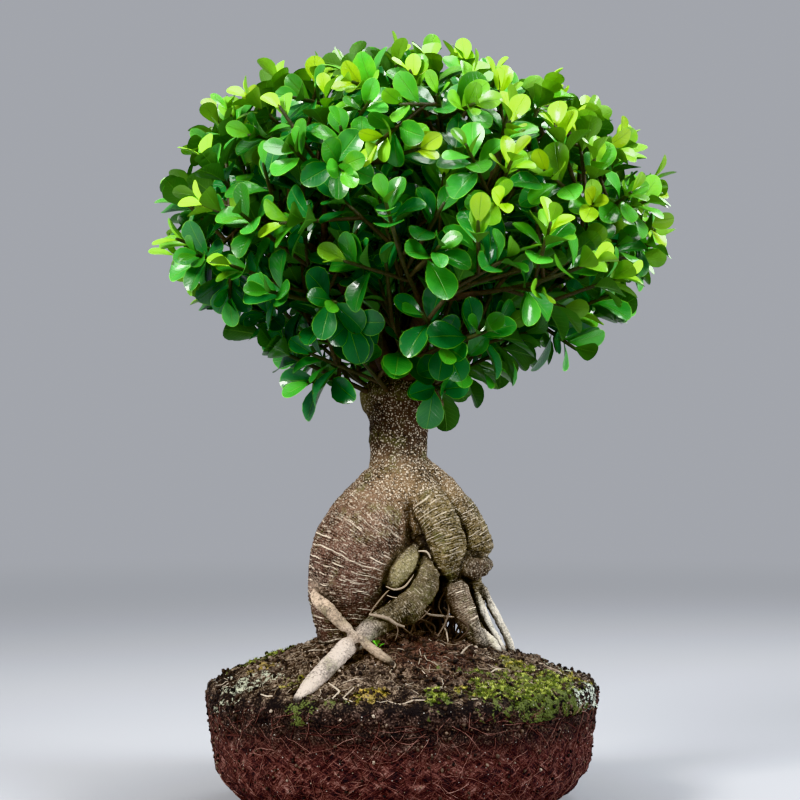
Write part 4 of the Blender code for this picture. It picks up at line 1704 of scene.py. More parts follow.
class SoilFinish(Finish):
    """Soil: grey-brown crumbs on top, a darker rim, and a wall of red-brown root felt."""

    TOP = ((0.41, (0.007, 0.005, 0.005)), (0.48, (0.038, 0.027, 0.021)), (0.54, (0.110, 0.079, 0.058)),
           (0.64, (0.36, 0.28, 0.20)))
    FELT = ((0.40, (0.006, 0.003, 0.004)), (0.47, (0.048, 0.018, 0.017)), (0.53, (0.150, 0.062, 0.052)),
            (0.63, (0.36, 0.21, 0.18)))
    RIM = ((0.42, (0.004, 0.003, 0.003)), (0.50, (0.022, 0.014, 0.012)), (0.57, (0.062, 0.040, 0.033)),
           (0.68, (0.24, 0.17, 0.14)))
    RUST = (0.105, 0.038, 0.026)
    FLECK = (0.55, 0.52, 0.47)
    RIM_BOUNDS = (0.050, 0.072)
    EDGE_BOUNDS = (0.103, 0.089)
    WALL_RADIUS = 0.1465

    def __init__(self) -> None:
        """Builds the nodes. The mesh carries wall, moss, tint and rust."""
        super().__init__("soil")
        graph = self.graph
        wall, moss, rust = graph.attributes("wall", "moss", "rust")
        grain = graph.noise(self.place, 700, 4)
        clods = graph.noise(self.place, 120, 4)
        x, y, height = graph.parted(self.place)
        turn = x.angle(0 - y) * self.WALL_RADIUS
        threads = self._threads(turn, height, 0.75, 0.0)
        threads = threads.or_more(self._threads(turn, height, -0.55, 7.0))
        threads = (threads - 0.07) * 0.75 + grain * 0.25
        rim = (height + (clods - 0.5) * 0.03).step(*self.RIM_BOUNDS)
        edge = (height + (clods - 0.5) * 0.03).step(*self.EDGE_BOUNDS)
        # Paler towards the left of the top.
        paler_left = x.step(-0.01, -0.09) * 0.028
        top = graph.ramp(clods * 0.40 + grain * 0.60 - edge * 0.10 - rust * 0.03 + paler_left, self.TOP)
        side = graph.mix(rim, graph.ramp(clods * 0.3 + threads * 0.7, self.FELT),
                         graph.ramp(clods * 0.35 + grain * 0.65, self.RIM))
        colour = graph.mix((wall + (clods - 0.5) * 2.0 + (grain - 0.5)).step(0.25, 0.75), top, side)
        colour = graph.mix(rust * grain.step(0.35, 0.7), colour, self.RUST)
        shade = ((grain - 0.34) * 5.0 + (clods - 0.5) * 2.5).clamped(0.05)
        green = graph.mix(1.0, graph.attribute("tint", "Color"), shade, "MULTIPLY")
        colour = graph.mix((moss + (grain - 0.5) * 1.6 + (clods - 0.5)).step(0.40, 0.60), colour, green)
        chance = graph.parted(graph.cells(self.place, 460, "Color"), "Color")[1]
        flecks = graph.cells(self.place, 460).step(0.26, 0.16) * chance.step(0.93, 0.94)
        self.feed("Base Color", graph.mix(flecks * 0.75, colour, self.FLECK))
        self.feed("Roughness", 0.86 - moss * 0.1)
        self.feed("Specular IOR Level", 0.3)
        self.bump(grain * 1.0 + clods * 0.5 + wall * threads * 1.6, 0.0018)

    def _threads(self, turn: Value, height: Value, slope: float, shift: float) -> Value:
        """Noise that is drawn out along one slope of the wall, like matted threads.

        Args:
            turn: The distance round the wall.
            height: The height.
            slope: How steeply the threads rise.
            shift: Where in the noise to look.

        Returns:
            The noise.
        """
        place = self.graph.joined((turn + height * slope) * 70, (height - turn * slope) * 520, shift)
        return self.graph.noise(place, 1.0, 4, 0.6)


class CrumbFinish(Finish):
    """A crumb, shoot or rootlet: its colour varies with its tone, and its yellow with its hue."""

    def __init__(self, name: str, stops: Stops, roughness: float,
                 yellow: Colour | None = None) -> None:
        """Builds the nodes. The mesh carries its tone, and its hue if there is a yellow.

        Args:
            name: The material's name.
            stops: The colours from the darkest tone to the palest.
            roughness: How rough it is.
            yellow: What the colours are multiplied by where the hue is 1.
        """
        super().__init__(name)
        graph = self.graph
        grain = graph.noise(self.place, 900, 3)
        colour = graph.ramp(graph.attribute("tone") * 0.9 + (grain - 0.4) * 0.4, stops)
        if yellow is not None:
            tint = graph.mix(graph.attribute("hue"), (1.0, 1.0, 1.0), yellow)
            colour = graph.mix(1.0, colour, tint, "MULTIPLY")
        self.feed("Base Color", colour)
        self.feed("Roughness", roughness)
        self.feed("Specular IOR Level", 0.3)
        self.bump(grain, 0.0004)


# Trunk


@dataclass(frozen=True)
class Trunk:
    """The neck and the roots, grown together in one skin that is creased where they press together."""

    ground: "SoilBall"
    voxel: float = 0.0012
    sides: int = 28
    steps: int = 8
    melt: int = 2
    melt_share: float = 0.5
    blend: float = 0.0028
    lump: float = 0.0012
    grit: float = 0.00042
    ring_relief: float = 0.00045
    wave_level: float = 0.4
    wave_contrast: float = 1.6
    ring_shift: float = 0.37
    ring_sways: tuple[tuple[float, float, int, float], ...] = (
        (0.0022, 30, 2, 13.0), (0.0007, 130, 1, 17.0))
    crease_width: float = 0.0050
    crease_depth: float = 0.0032
    crease_top: float = 0.243
    crease_full: float = 0.214
    # How swollen roots darken low down: damp, and painted shade near the soil.
    damp_shade_top: float = 0.185
    damp_shade_depth: float = 0.055
    damp_shade_share: float = 0.45
    # Rays that find the hollows which are painted in shade.
    sky_rays: int = 26
    sky_start: float = 0.0006
    sky_cosine: float = 0.2
    sky_reach: float = 0.045
    shade_share: float = 0.95
    fan_radius: float = 0.092
    soil_line: float = 0.007
    soil_share: float = 0.75
    cap_angles: tuple[float, ...] = (80, 50, 25)
    cap_share: float = 0.5
    thin_radius: float = 0.012

    def build(self, finish: BarkFinish) -> bpy.types.Object:
        """Builds the trunk in its bark.

        Args:
            finish: The bark.

        Returns:
            The trunk.
        """
        roots = (NECK, *SWOLLEN_ROOTS, *ROUND_ROOTS)
        paths = [(root, self._smooth(np.array(root.path))) for root in roots]
        vertices, faces = [], []
        for _, samples in paths:
            self._add_tube(samples, vertices, faces)
        piece = linked("trunk", plain_mesh("trunk", vertices, faces))
        skin = piece.modifiers.new("Skin", "REMESH")
        skin.mode, skin.voxel_size = "VOXEL", self.voxel
        soft = piece.modifiers.new("Soft", "SMOOTH")
        soft.factor, soft.iterations = self.melt_share, self.melt
        baked(piece)
        self._drop_hollows(piece.data)
        self._weather(piece.data, paths)
        # The earth attribute: painted shade in hollows, and soil at the soil line.
        set_values(piece.data, "earth", "FLOAT", self._shade_and_soil(piece.data))
        return worn(piece, finish)

    def _smooth(self, points: np.ndarray) -> np.ndarray:
        """A smooth curve through a path's points and radii.

        Args:
            points: Rows of a place and a radius.

        Returns:
            More such rows.
        """
        padded = np.vstack([2 * points[0] - points[1], points, 2 * points[-1] - points[-2]])
        share = np.linspace(0, 1, self.steps, endpoint=False)[:, None]
        rows = []
        for index in range(len(points) - 1):
            a, b, c, d = padded[index:index + 4]
            rows.append(0.5 * (2 * b + (c - a) * share + (2 * a - 5 * b + 4 * c - d) * share ** 2
                               + (3 * b - a - 3 * c + d) * share ** 3))
        return np.vstack(rows + [points[-1:]])

    def _cap(self, end: np.ndarray, before: np.ndarray) -> list[tuple[float, ...]]:
        """The rings of a tube's rounded end, the outermost first.

        Args:
            end: The place and radius at the end.
            before: The place and radius next to it.

        Returns:
            Rows of a place and a radius.
        """
        outward = end[:3] - before[:3]
        outward = outward / np.linalg.norm(outward)
        return [(*(end[:3] + outward * end[3] * self.cap_share * math.sin(t)), end[3] * math.cos(t))
                for t in np.radians(self.cap_angles)]

    def _add_tube(self, samples: np.ndarray, vertices: list, faces: list) -> None:
        """Adds a tube with rounded ends along a smooth path.

        Args:
            samples: Rows of a place and a radius.
            vertices: The vertices so far, which are added to.
            faces: The faces so far, which are added to.
        """
        after = reversed(self._cap(samples[-1], samples[-2]))
        rows = np.vstack([self._cap(samples[0], samples[1]), samples, list(after)])
        sides = self.sides if samples[:, 3].max() > self.thin_radius else self.sides // 2
        shape = tube_shape(rows[:, :3], rows[:, 3], sides)
        start = len(vertices)
        vertices.extend(shape[0])
        faces.extend(tuple(start + corner for corner in face) for face in shape[1])

    @staticmethod
    def _drop_hollows(mesh: bpy.types.Mesh) -> None:
        """Keeps only the outer skin, and drops closed hollows between the roots.

        Args:
            mesh: The skin.
        """
        form = bmesh.new()
        form.from_mesh(mesh)
        waiting, islands = set(form.verts), []
        while waiting:
            start = waiting.pop()
            island, edge = [start], [start]
            while edge:
                for link in edge.pop().link_edges:
                    for vertex in link.verts:
                        if vertex in waiting:
                            waiting.discard(vertex)
                            island.append(vertex)
                            edge.append(vertex)
            islands.append(island)
        islands.sort(key=len)
        for island in islands[:-1]:
            bmesh.ops.delete(form, geom=island, context="VERTS")
        form.to_mesh(mesh)
        form.free()

    def _on_root(self, root: Root, samples: np.ndarray, places: np.ndarray) -> tuple[np.ndarray, ...]:
        """How each point of the skin lies to one root.

        Args:
            root: The root.
            samples: Its smooth path.
            places: The points.

        Returns:
            For each point its depth in the root, the bark that the root has there, darkened low down on a
            swollen root by damp and painted shade, and the distance along the root that its rings are
            counted by.
        """
        points = samples[:, :3]
        lengths = np.concatenate([[0], np.cumsum(np.linalg.norm(np.diff(points, axis=0), axis=1))])
        share = (lengths / lengths[-1] - root.change[0]) / (root.change[1] - root.change[0])
        share = ease(np.clip(share, 0, 1)[:, None])
        tangent = np.gradient(points, axis=0)
        tangent /= np.linalg.norm(tangent, axis=1)[:, None]
        away = places[:, None, :].astype(np.float32) - points[None].astype(np.float32)
        depth = np.linalg.norm(away, axis=2) - samples[None, :, 3]
        nearest = depth.argmin(axis=1)
        look = (root.upper.row * (1 - share) + root.lower.row * share)[nearest]
        # Swollen roots are darker low down: damp, and painted shade near the soil.
        if root in SWOLLEN_ROOTS:
            damp_and_shade = np.clip((self.damp_shade_top - places[:, 2:]) / self.damp_shade_depth, 0, 1)
            look[:, :3] *= 1 - self.damp_shade_share * damp_and_shade
        along = lengths[nearest] + ((places - points[nearest]) * tangent[nearest]).sum(axis=1)
        if root.fan:
            along = self.fan_radius * np.arctan2(places[:, 2] - root.fan[1], root.fan[0] - places[:, 0])
        return depth[np.arange(len(places)), nearest], look, along

    def _weather(self, mesh: bpy.types.Mesh, paths: Sequence[tuple[Root, np.ndarray]]) -> None:
        """Gives the skin its colours, rings, pores, lumps and creases, from the roots that it lies on.

        Args:
            mesh: The skin.
            paths: Each root with its smooth path.
        """
        places, outward = positions(mesh), normals(mesh)
        depths, looks, rings = [], [], []
        for number, (root, samples) in enumerate(paths):
            depth, look, along = self._on_root(root, samples, places)
            depths.append(depth)
            looks.append(look)
            rings.append(along + self.ring_shift * number)
        depths, looks, rings = np.array(depths), np.array(looks), np.array(rings)
        weight = np.exp(-(depths - depths.min(axis=0)) / self.blend)
        look = (weight[:, :, None] * looks).sum(axis=0) / weight.sum(axis=0)[:, None]
        ring = rings[depths.argmin(axis=0), np.arange(len(places))]
        for sway, scale, octaves, seed in self.ring_sways:
            ring = ring + sway * lumps(places, scale, octaves, seed)
        ordered = np.sort(depths[1:], axis=0)
        pressed = np.clip(1 - (ordered[1] - ordered[0]) / self.crease_width, 0, 1) ** 2
        pressed *= np.clip((self.crease_top - places[:, 2]) / (self.crease_top - self.crease_full), 0, 1)
        wave = np.cos(FULL_TURN * ring / BarkFinish.DASH_SPACING) * look[:, 3]
        wave *= np.clip(self.wave_level + self.wave_contrast * lumps(places, 55, 1, 19.0), 0, 1)
        relief = self.lump * (lumps(places, 45, 2) + 0.5 * lumps(places, 170, 3, 5.0)) * look[:, 5]
        relief += self.grit * lumps(places, 400, 2, 23.0) + self.ring_relief * wave
        move_points(mesh, places + outward * (relief - self.crease_depth * pressed)[:, None])
        set_values(mesh, "skin", "FLOAT_COLOR", np.hstack([look[:, :3], np.ones((len(places), 1))]))
        for key, column in (("ring", ring), ("rings", look[:, 3]), ("pores", look[:, 4])):
            set_values(mesh, key, "FLOAT", column)

    def _shade_and_soil(self, mesh: bpy.types.Mesh) -> list[float]:
        """How dark each point is painted: painted shade where other roots keep off the open air, and soil
        at the soil line.

        Args:
            mesh: The skin.

        Returns:
            From 0 to 1 for each point.
        """
        tree = surface_of(mesh)
        rays = [Growth.spread_direction(index, self.sky_rays, -1.0) for index in range(self.sky_rays)]
        earth = []
        for vertex in mesh.vertices:
            start = vertex.co + vertex.normal * self.sky_start
            open_rays = [ray for ray in rays if ray.dot(vertex.normal) > self.sky_cosine]
            # The share of rays that meet the skin again becomes painted shade.
            met = sum(tree.ray_cast(start, ray, self.sky_reach)[0] is not None for ray in open_rays)
            above = vertex.co.z - self.ground.mound(math.hypot(vertex.co.x, vertex.co.y))
            buried = clamp(1 - above / self.soil_line) * self.soil_share
            earth.append(max(met / len(open_rays) * self.shade_share, buried))
        return earth


# Foliage


@dataclass(frozen=True)
class Foliage:
    """Leaves from a few unit blades, set on their twigs by Geometry Nodes, and the twigs and limbs."""

    crown: Crown
    rows: tuple[tuple[float, float], ...] = (
        (0.0, 0.055), (0.10, 0.10), (0.34, 0.63), (0.55, 0.95), (0.72, 1.0), (0.88, 0.84), (1.0, 0.62))
    columns: tuple[float, ...] = (-1.0, -0.5, 0.0, 0.5, 1.0)
    roundness: float = 0.082
    thickness: float = 0.020
    arches: tuple[float, ...] = tuple(math.radians(a) for a in (4, 14, 24, 34, 44))
    more_arch: float = math.radians(6)
    folds: tuple[float, ...] = (math.radians(12), math.radians(25))
    cup: float = 0.60
    groove: float = 0.010
    ripple: float = 0.014
    ripple_turn: float = 8
    ripple_shift: float = 2.1
    flat_tip: float = 0.45
    limb_steps: int = 8
    stub_taper: float = 0.3
    stub_tone: float = 0.1
    bud_share: float = 0.6
    twig_tone: float = 0.25
    shade_value: float = 0.2
    shade_range: float = 0.55
    sunny_reach: float = 0.12
    widths: tuple[float, float] = (0.84, 1.06)
    tip_youth: float = 0.80
    youth_play: tuple[float, float] = (-0.08, 0.12)
    # Shares of how young a leaf is, with painted light and shade: least, height, outside, the lit right
    # side and rosette place.
    youth_and_light_shares: tuple[float, ...] = (0.05, 0.29, 0.20, 0.17, 0.16)
    vigour_shares: tuple[float, ...] = (0.81, 0.20, 0.12, 0.16)
    burst: float = 0.46
    low_burst: float = 0.45

    def build(self, leaf: LeafFinish, young: LeafFinish, bark: TwigFinish) -> None:
        """Builds every spray's leaves, the young tips, the twigs and the limbs.

        Args:
            leaf: The finish of grown leaves.
            young: The finish of the young tips.
            bark: The finish of the twigs.
        """
        scatter = Scatter("blades", self.unit_blades())
        for number, spray in enumerate(self.crown.sprays, start=1):
            rows = [self._placed(spray, one) for one in spray.leaves]
            dressed(scatter.made(f"leaves_{number:02d}", rows, leaf), "leaf", f"leafy_spray_{number:02d}")
            if spray.young:
                rows = [self._placed(spray, one) for one in spray.young]
                piece = scatter.made(f"tip_leaves_{number:02d}", rows, young)
                dressed(piece, "young_leaf", f"young_tip_{number:02d}")
        scatter.clear()
        dressed(strand_piece("twigs", self._twigs(), bark, 6, 4), "bark")
        dressed(strand_piece("limbs", self._limbs(), bark, 12, 4), "bark", "trunk_and_roots")

    def unit_blades(self) -> list[bpy.types.Mesh]:
        """The unit blades, one for each arch and fold."""
        kinds = [(arch, fold) for arch in self.arches for fold in self.folds]
        return [self._blade(*kind, number) for number, kind in enumerate(kinds)]

    def _blade(self, arch: float, fold: float, number: int) -> bpy.types.Mesh:
        """One unit blade: obovate, folded along its rib, arched, rippled and closed at a sharp rim.

        Args:
            arch: How far it bends along its length, in radians.
            fold: How far each half rises, in radians.
            number: The blade's number, which shifts its ripple.

        Returns:
            The blade's mesh, with a map of across and along and which side is under.
        """
        wide, tall, half_width = len(self.columns), len(self.rows), self.crown.fine.width_share / 2
        on_rim = {(row, column) for row in range(tall) for column in range(wide)
                  if row in (0, tall - 1) or column in (0, wide - 1)}
        vertices, maps, edge, found = [], [], [], {}
        for layer in (1, -1):
            for row, (along, width) in enumerate(self.rows):
                for column, across in enumerate(self.columns):
                    place = along - self.roundness * across ** 2 * along ** 4
                    turn = arch * place
                    spine = Vector((0, math.sin(turn) / arch, -(1 - math.cos(turn)) / arch))
                    face = Vector((0, math.sin(turn), math.cos(turn)))
                    rim = (row, column) in on_rim
                    if rim and layer == -1:
                        found[layer, row, column] = found[1, row, column]
                        continue
                    reach = across * width * half_width
                    bowl = 1 - self.cup + self.cup * abs(across)
                    rise = abs(reach) * bowl * math.sin(fold) * (1 - self.flat_tip * along ** 3)
                    rise -= self.groove * width * (1 - along ** 4) * (across == 0)
                    ripple = math.sin(self.ripple_turn * along + self.ripple_shift * number + across)
                    rise += self.ripple * abs(across) * width * ripple
                    rise += 0 if rim else layer * self.thickness / 2
                    found[layer, row, column] = len(vertices)
                    vertices.append(spine + Vector((reach * math.cos(fold), 0, 0)) + face * rise)
                    maps.append(((across + 1) / 2, along))
                    edge.append(float(rim and row > 0))
        faces, under = [], []
        for row in range(tall - 1):
            for column in range(wide - 1):
                corners = ((row, column), (row, column + 1), (row + 1, column + 1), (row + 1, column))
                faces.append([found[1, r, c] for r, c in corners])
                faces.append([found[-1, r, c] for r, c in reversed(corners)])
                under += [0.0] * 4 + [1.0] * 4
        mesh = plain_mesh(f"blade_{number:02d}", vertices, faces)
        set_values(mesh, "rim", "FLOAT", edge)
        layer_map = mesh.uv_layers.new(name="UVMap")
        for loop in mesh.loops:
            layer_map.data[loop.index].uv = maps[loop.vertex_index]
        mesh.attributes.new("under", "FLOAT", "CORNER").data.foreach_set("value", under)
        rims = {found[1, row, column] for row, column in on_rim}
        for side in mesh.edges:
            side.use_edge_sharp = set(side.vertices) <= rims
        return mesh

    def _placed(self, spray: Spray, leaf: Leaf) -> Placed:
        """The copy of a unit blade that stands for a leaf.

        Args:
            spray: The spray that bears the leaf.
            leaf: The leaf.

        Returns:
            The copy.
        """
        frame = Matrix((leaf.across, leaf.along, leaf.across.cross(leaf.along))).transposed()
        draw = random.Random(7000 * leaf.spray + 70 * leaf.twig + leaf.index)
        arch = leaf.arch + self.more_arch
        step = min(range(len(self.arches)), key=lambda i: abs(self.arches[i] - arch))
        kind = step * len(self.folds) + draw.randrange(len(self.folds))
        hue = self._youth_and_light(spray, leaf, draw)
        return Placed(leaf.base, tuple(frame.to_euler()), leaf.length, kind, draw.random(), hue,
                      draw.uniform(*self.widths))

    def _youth_and_light(self, spray: Spray, leaf: Leaf, draw: random.Random) -> float:
        """How young a leaf is, from 0 to 1, with painted light and shade: by its height, its place and its
        twig's vigour. It is painted lighter high up, at the outside and on the right, and darker inside.

        Args:
            spray: The spray that bears the leaf.
            leaf: The leaf.
            draw: The source of its random draws.

        Returns:
            How young it is, with painted light and shade.
        """
        growth, middle = self.crown.growth, leaf.centre(0.6)
        if leaf in spray.young:
            return self.tip_youth + (1 - self.tip_youth) * draw.random()
        # Height and the outside of the crown make a leaf younger and also paint light on it; the inside is
        # painted shade.
        height = ease(clamp((middle.z - growth.centre.z + growth.drop) / (growth.rise + growth.drop)))
        outer = clamp((growth.crown_value(middle) - self.shade_value) / self.shade_range)
        vigour = random.Random(31 * leaf.spray + leaf.twig).random()
        fresh = min(1.0, leaf.index / (self.crown.fine.rosette - 2))
        # Painted light on the right side of the crown.
        sunny = clamp(middle.x / self.sunny_reach) * outer
        least, high, out, sun, age = self.youth_and_light_shares
        youth_and_light = least + high * height * outer + out * outer + sun * sunny + draw.uniform(*self.youth_play)
        youth_and_light += age * fresh * fresh * outer
        most, high, out, sun = self.vigour_shares
        if vigour > most - high * height * outer - out * outer - sun * sunny:
            youth_and_light += self.burst * fresh * (self.low_burst + (1 - self.low_burst) * height)
        return clamp(youth_and_light)

    def _limbs(self) -> list[Strand]:
        """The limbs and the stubs that bear the stems.

        Returns:
            The limbs and stubs.
        """
        growth, strands = self.crown.growth, []
        for end in self.crown.ends:
            steps = self.limb_steps
            shares = [growth.limb_overshoot * step / steps for step in range(steps + 1)]
            points = [growth.limb_point(end, share) for share in shares]
            radii = [between(growth.limb_radius, growth.limb_tip_radius, share) for share in shares]
            strands.append(Strand(points, radii, [0.0] * len(shares)))
        for spray in self.crown.sprays:
            shares = (0, 0.5, 1)
            points = [spray.fork.lerp(spray.stem.path[0], share) for share in shares]
            radii = [growth.stub_radius * (1 - self.stub_taper * share) for share in shares]
            strands.append(Strand(points, radii, [self.stub_tone] * len(shares)))
        return strands

    def _twigs(self) -> list[Strand]:
        """Every stem and side twig, greener towards its tip.

        Returns:
            The twigs.
        """
        growth, strands = self.crown.growth, []
        for twig in (twig for spray in self.crown.sprays for twig in spray.twigs):
            points = twig.path + [twig.tip + twig.direction * growth.bud_length]
            radii = twig.radii + [growth.bud_radius * self.bud_share]
            last = len(points) - 1
            tones = [self.twig_tone + (1 - self.twig_tone) * i / last for i in range(last + 1)]
            strands.append(Strand(points, radii, tones))
        return strands


# Soil


class Moss(Enum):
    """The colour of a patch of moss or lichen, in linear light."""

    GREEN = (0.100, 0.125, 0.038)
    YELLOW = (0.300, 0.220, 0.070)
    OLIVE = (0.170, 0.165, 0.065)
    GREY = (0.440, 0.460, 0.345)
    TEAL = (0.620, 0.680, 0.580)


@dataclass(frozen=True)
class Patch:
    """A patch of moss on the mound: its middle, its half sizes, its colour and how thick it grows."""

    x: float
    y: float
    half_x: float
    half_y: float
    moss: Moss = Moss.GREEN
    lush: float = 1.0

    @property
    def hue(self) -> float:
        """How yellow its shoots are."""
        return {Moss.YELLOW: 1.0, Moss.OLIVE: 0.6}.get(self.moss, 0.0)


@dataclass(frozen=True)
class SoilBall:
    """The soil ball: a mounded top, a wall of matted roots, a round lower corner and a flat foot."""

    foot_radius: float = 0.088
    corner_width: float = 0.054
    corner_height: float = 0.046
    rim_radius: float = 0.1465
    rim_height: float = 0.082
    shoulder_width: float = 0.008
    shoulder_top: float = 0.094
    mound_rise: float = 0.038
    mound_reach: float = 0.140
    mound_power: float = 0.6
    wave: float = 0.0014
    sectors: int = 416
    top_rings: int = 84
    shoulder_rings: int = 12
    wall_rings: int = 30
    corner_rings: int = 36
    clod: float = 0.0034
    crumb: float = 0.0016
    wall_relief: float = 0.0020
    wall_fade: float = 0.010
    cushion: float = 0.0018
    still_foot: float = 0.006
    moss_drop: float = 0.004
    moss_reach: float = 1.30
    moss_fray: float = 1.1
    rust_middle: tuple[float, float] = (0.022, -0.062)
    rust_reach: float = 0.052
    patches: tuple[Patch, ...] = (
        Patch(0.090, -0.096, 0.032, 0.026),
        Patch(0.112, -0.066, 0.022, 0.026),
        Patch(0.088, -0.050, 0.014, 0.014, Moss.OLIVE),
        Patch(0.062, -0.112, 0.013, 0.014),
        Patch(0.024, -0.129, 0.008, 0.009),
        Patch(0.044, -0.118, 0.010, 0.010, Moss.OLIVE, 0.6),
        Patch(-0.021, -0.128, 0.013, 0.010, Moss.YELLOW, 0.8),
        Patch(-0.066, -0.128, 0.015, 0.008, Moss.GREEN, 0.55),
        Patch(-0.040, -0.134, 0.010, 0.005, Moss.GREEN, 0.5),
        Patch(-0.072, -0.092, 0.011, 0.013, Moss.OLIVE, 0.7),
        Patch(-0.112, -0.062, 0.022, 0.020, Moss.GREY, 0.55),
        Patch(-0.100, -0.030, 0.012, 0.010, Moss.YELLOW, 0.6),
        Patch(0.139, -0.040, 0.008, 0.020, Moss.TEAL, 0.6),
        Patch(0.128, -0.062, 0.013, 0.018, Moss.TEAL, 0.52),
        Patch(0.128, -0.030, 0.012, 0.016, Moss.OLIVE, 0.7),
        Patch(-0.133, -0.020, 0.006, 0.012, Moss.TEAL, 0.6),
        Patch(-0.100, 0.050, 0.030, 0.026),
        Patch(0.060, 0.105, 0.034, 0.022, Moss.OLIVE, 0.9),
        Patch(-0.030, 0.120, 0.018, 0.012, Moss.YELLOW, 0.7),
        Patch(0.120, 0.030, 0.016, 0.022, Moss.GREY, 0.7))

    def mound(self, radius: float) -> float:
        """The height of the mound at a distance from its middle."""
        fall = 0.5 + 0.5 * math.cos(math.pi * min(radius, self.mound_reach) / self.mound_reach)
        return self.shoulder_top + self.mound_rise * fall ** self.mound_power

    def profile(self) -> np.ndarray:
        """The outline from the mound's middle to the edge of the foot.

        Returns:
            Rows of a radius and a height.
        """
        reach, low = self.rim_radius - self.shoulder_width, self.foot_radius + self.corner_width
        rows = []
        for i in range(1, self.top_rings + 1):
            radius = reach * i / self.top_rings
            rows.append((radius, self.mound(radius)))
        for i in range(1, self.shoulder_rings + 1):
            turn = math.pi / 2 * i / self.shoulder_rings
            height = between(self.rim_height, self.shoulder_top, math.cos(turn))
            rows.append((reach + self.shoulder_width * math.sin(turn), height))
        for i in range(1, self.wall_rings + 1):
            share = i / self.wall_rings
            height = between(self.rim_height, self.corner_height, share)
            rows.append((between(self.rim_radius, low, share), height))
        for i in range(1, self.corner_rings + 1):
            turn = math.pi / 2 * i / self.corner_rings
            height = self.corner_height * (1 - math.sin(turn))
            rows.append((self.foot_radius + self.corner_width * math.cos(turn), height))
        return np.array(rows)

    def moss_at(self, places: np.ndarray) -> tuple[np.ndarray, np.ndarray]:
        """How mossy the soil is, and in which colour.

        Args:
            places: The places, one row each.

        Returns:
            The moss from 0 to 1, and the colour, at each place.
        """
        moss, tint = np.zeros(len(places)), np.ones((len(places), 4))
        tint[:, :3] = Moss.GREEN.value
        ragged = lumps(places, 130, 3, 2.0) + 0.8 * lumps(places, 420, 2, 6.0)
        for patch in self.patches:
            x, y = (places[:, 0] - patch.x) / patch.half_x, (places[:, 1] - patch.y) / patch.half_y
            here = np.clip(self.moss_reach - np.hypot(x, y) + self.moss_fray * ragged, 0, 1) * patch.lush
            here *= places[:, 2] > self.rim_height - self.moss_drop
            tint[here > moss, :3] = patch.moss.value
            moss = np.maximum(moss, here)
        return moss, tint

    def build(self, finish: SoilFinish) -> bpy.types.Object:
        """Builds the ball's surface with its clods, crumbs and cushions of moss.

        Args:
            finish: The soil.

        Returns:
            The soil ball.
        """
        profile = self.profile()
        angles = FULL_TURN * np.arange(self.sectors) / self.sectors
        radius, height = profile[:, 0:1], profile[:, 1:2]
        wave = np.sin(3 * angles + 0.8)[None] + 0.6 * np.sin(7 * angles[None] + 25 * height)
        uneven = radius + self.wave * wave * radius / self.rim_radius
        rings = np.stack([uneven * np.cos(angles), uneven * np.sin(angles),
                          np.broadcast_to(height, uneven.shape)], axis=2)
        vertices = np.vstack([[(0, 0, self.mound(0))], rings.reshape(-1, 3), [(0, 0, 0)]])
        mesh = plain_mesh("soil", vertices.tolist(), self._faces(len(profile)))
        outward, places = normals(mesh), positions(mesh)
        wall = np.clip((self.rim_height + self.wall_fade - places[:, 2]) / self.wall_fade, 0, 1)
        moss, tint = self.moss_at(places)
        top = self.clod * lumps(places, 70, 3) + self.crumb * np.abs(lumps(places, 260, 2, 3.0))
        side = self.wall_relief * lumps(places * (1, 1, 1.6), 90, 4, 9.0)
        cushion = moss * (self.cushion + self.cushion * np.abs(lumps(places, 190, 2, 7.0)))
        lift = (top * (1 - wall) + side * wall + cushion) * np.clip(places[:, 2] / self.still_foot, 0, 1)
        move_points(mesh, places + outward * lift[:, None])
        far = np.hypot(places[:, 0] - self.rust_middle[0], places[:, 1] - self.rust_middle[1])
        rust = np.clip(1 - far / self.rust_reach, 0, 1) * (1 - wall)
        for name, values in (("wall", wall), ("moss", moss), ("tint", tint), ("rust", rust)):
            set_values(mesh, name, "FLOAT_COLOR" if name == "tint" else "FLOAT", values)
        return worn(linked("soil", mesh), finish)

    def _faces(self, rings: int) -> list[tuple[int, ...]]:
        """The faces of the turned surface, closed at the middle of the mound and of the foot.

        Args:
            rings: How many rings it has.

        Returns:
            The faces.
        """
        faces = []
        last = 1 + (rings - 1) * self.sectors
        for sector in range(self.sectors):
            following = (sector + 1) % self.sectors
            faces.append((0, 1 + sector, 1 + following))
            faces.append((last + following, last + sector, 1 + rings * self.sectors))
        for low in range(1, last, self.sectors):
            high = low + self.sectors
            for sector in range(self.sectors):
                following = (sector + 1) % self.sectors
                faces.append((low + sector, high + sector, high + following, low + following))
        return faces


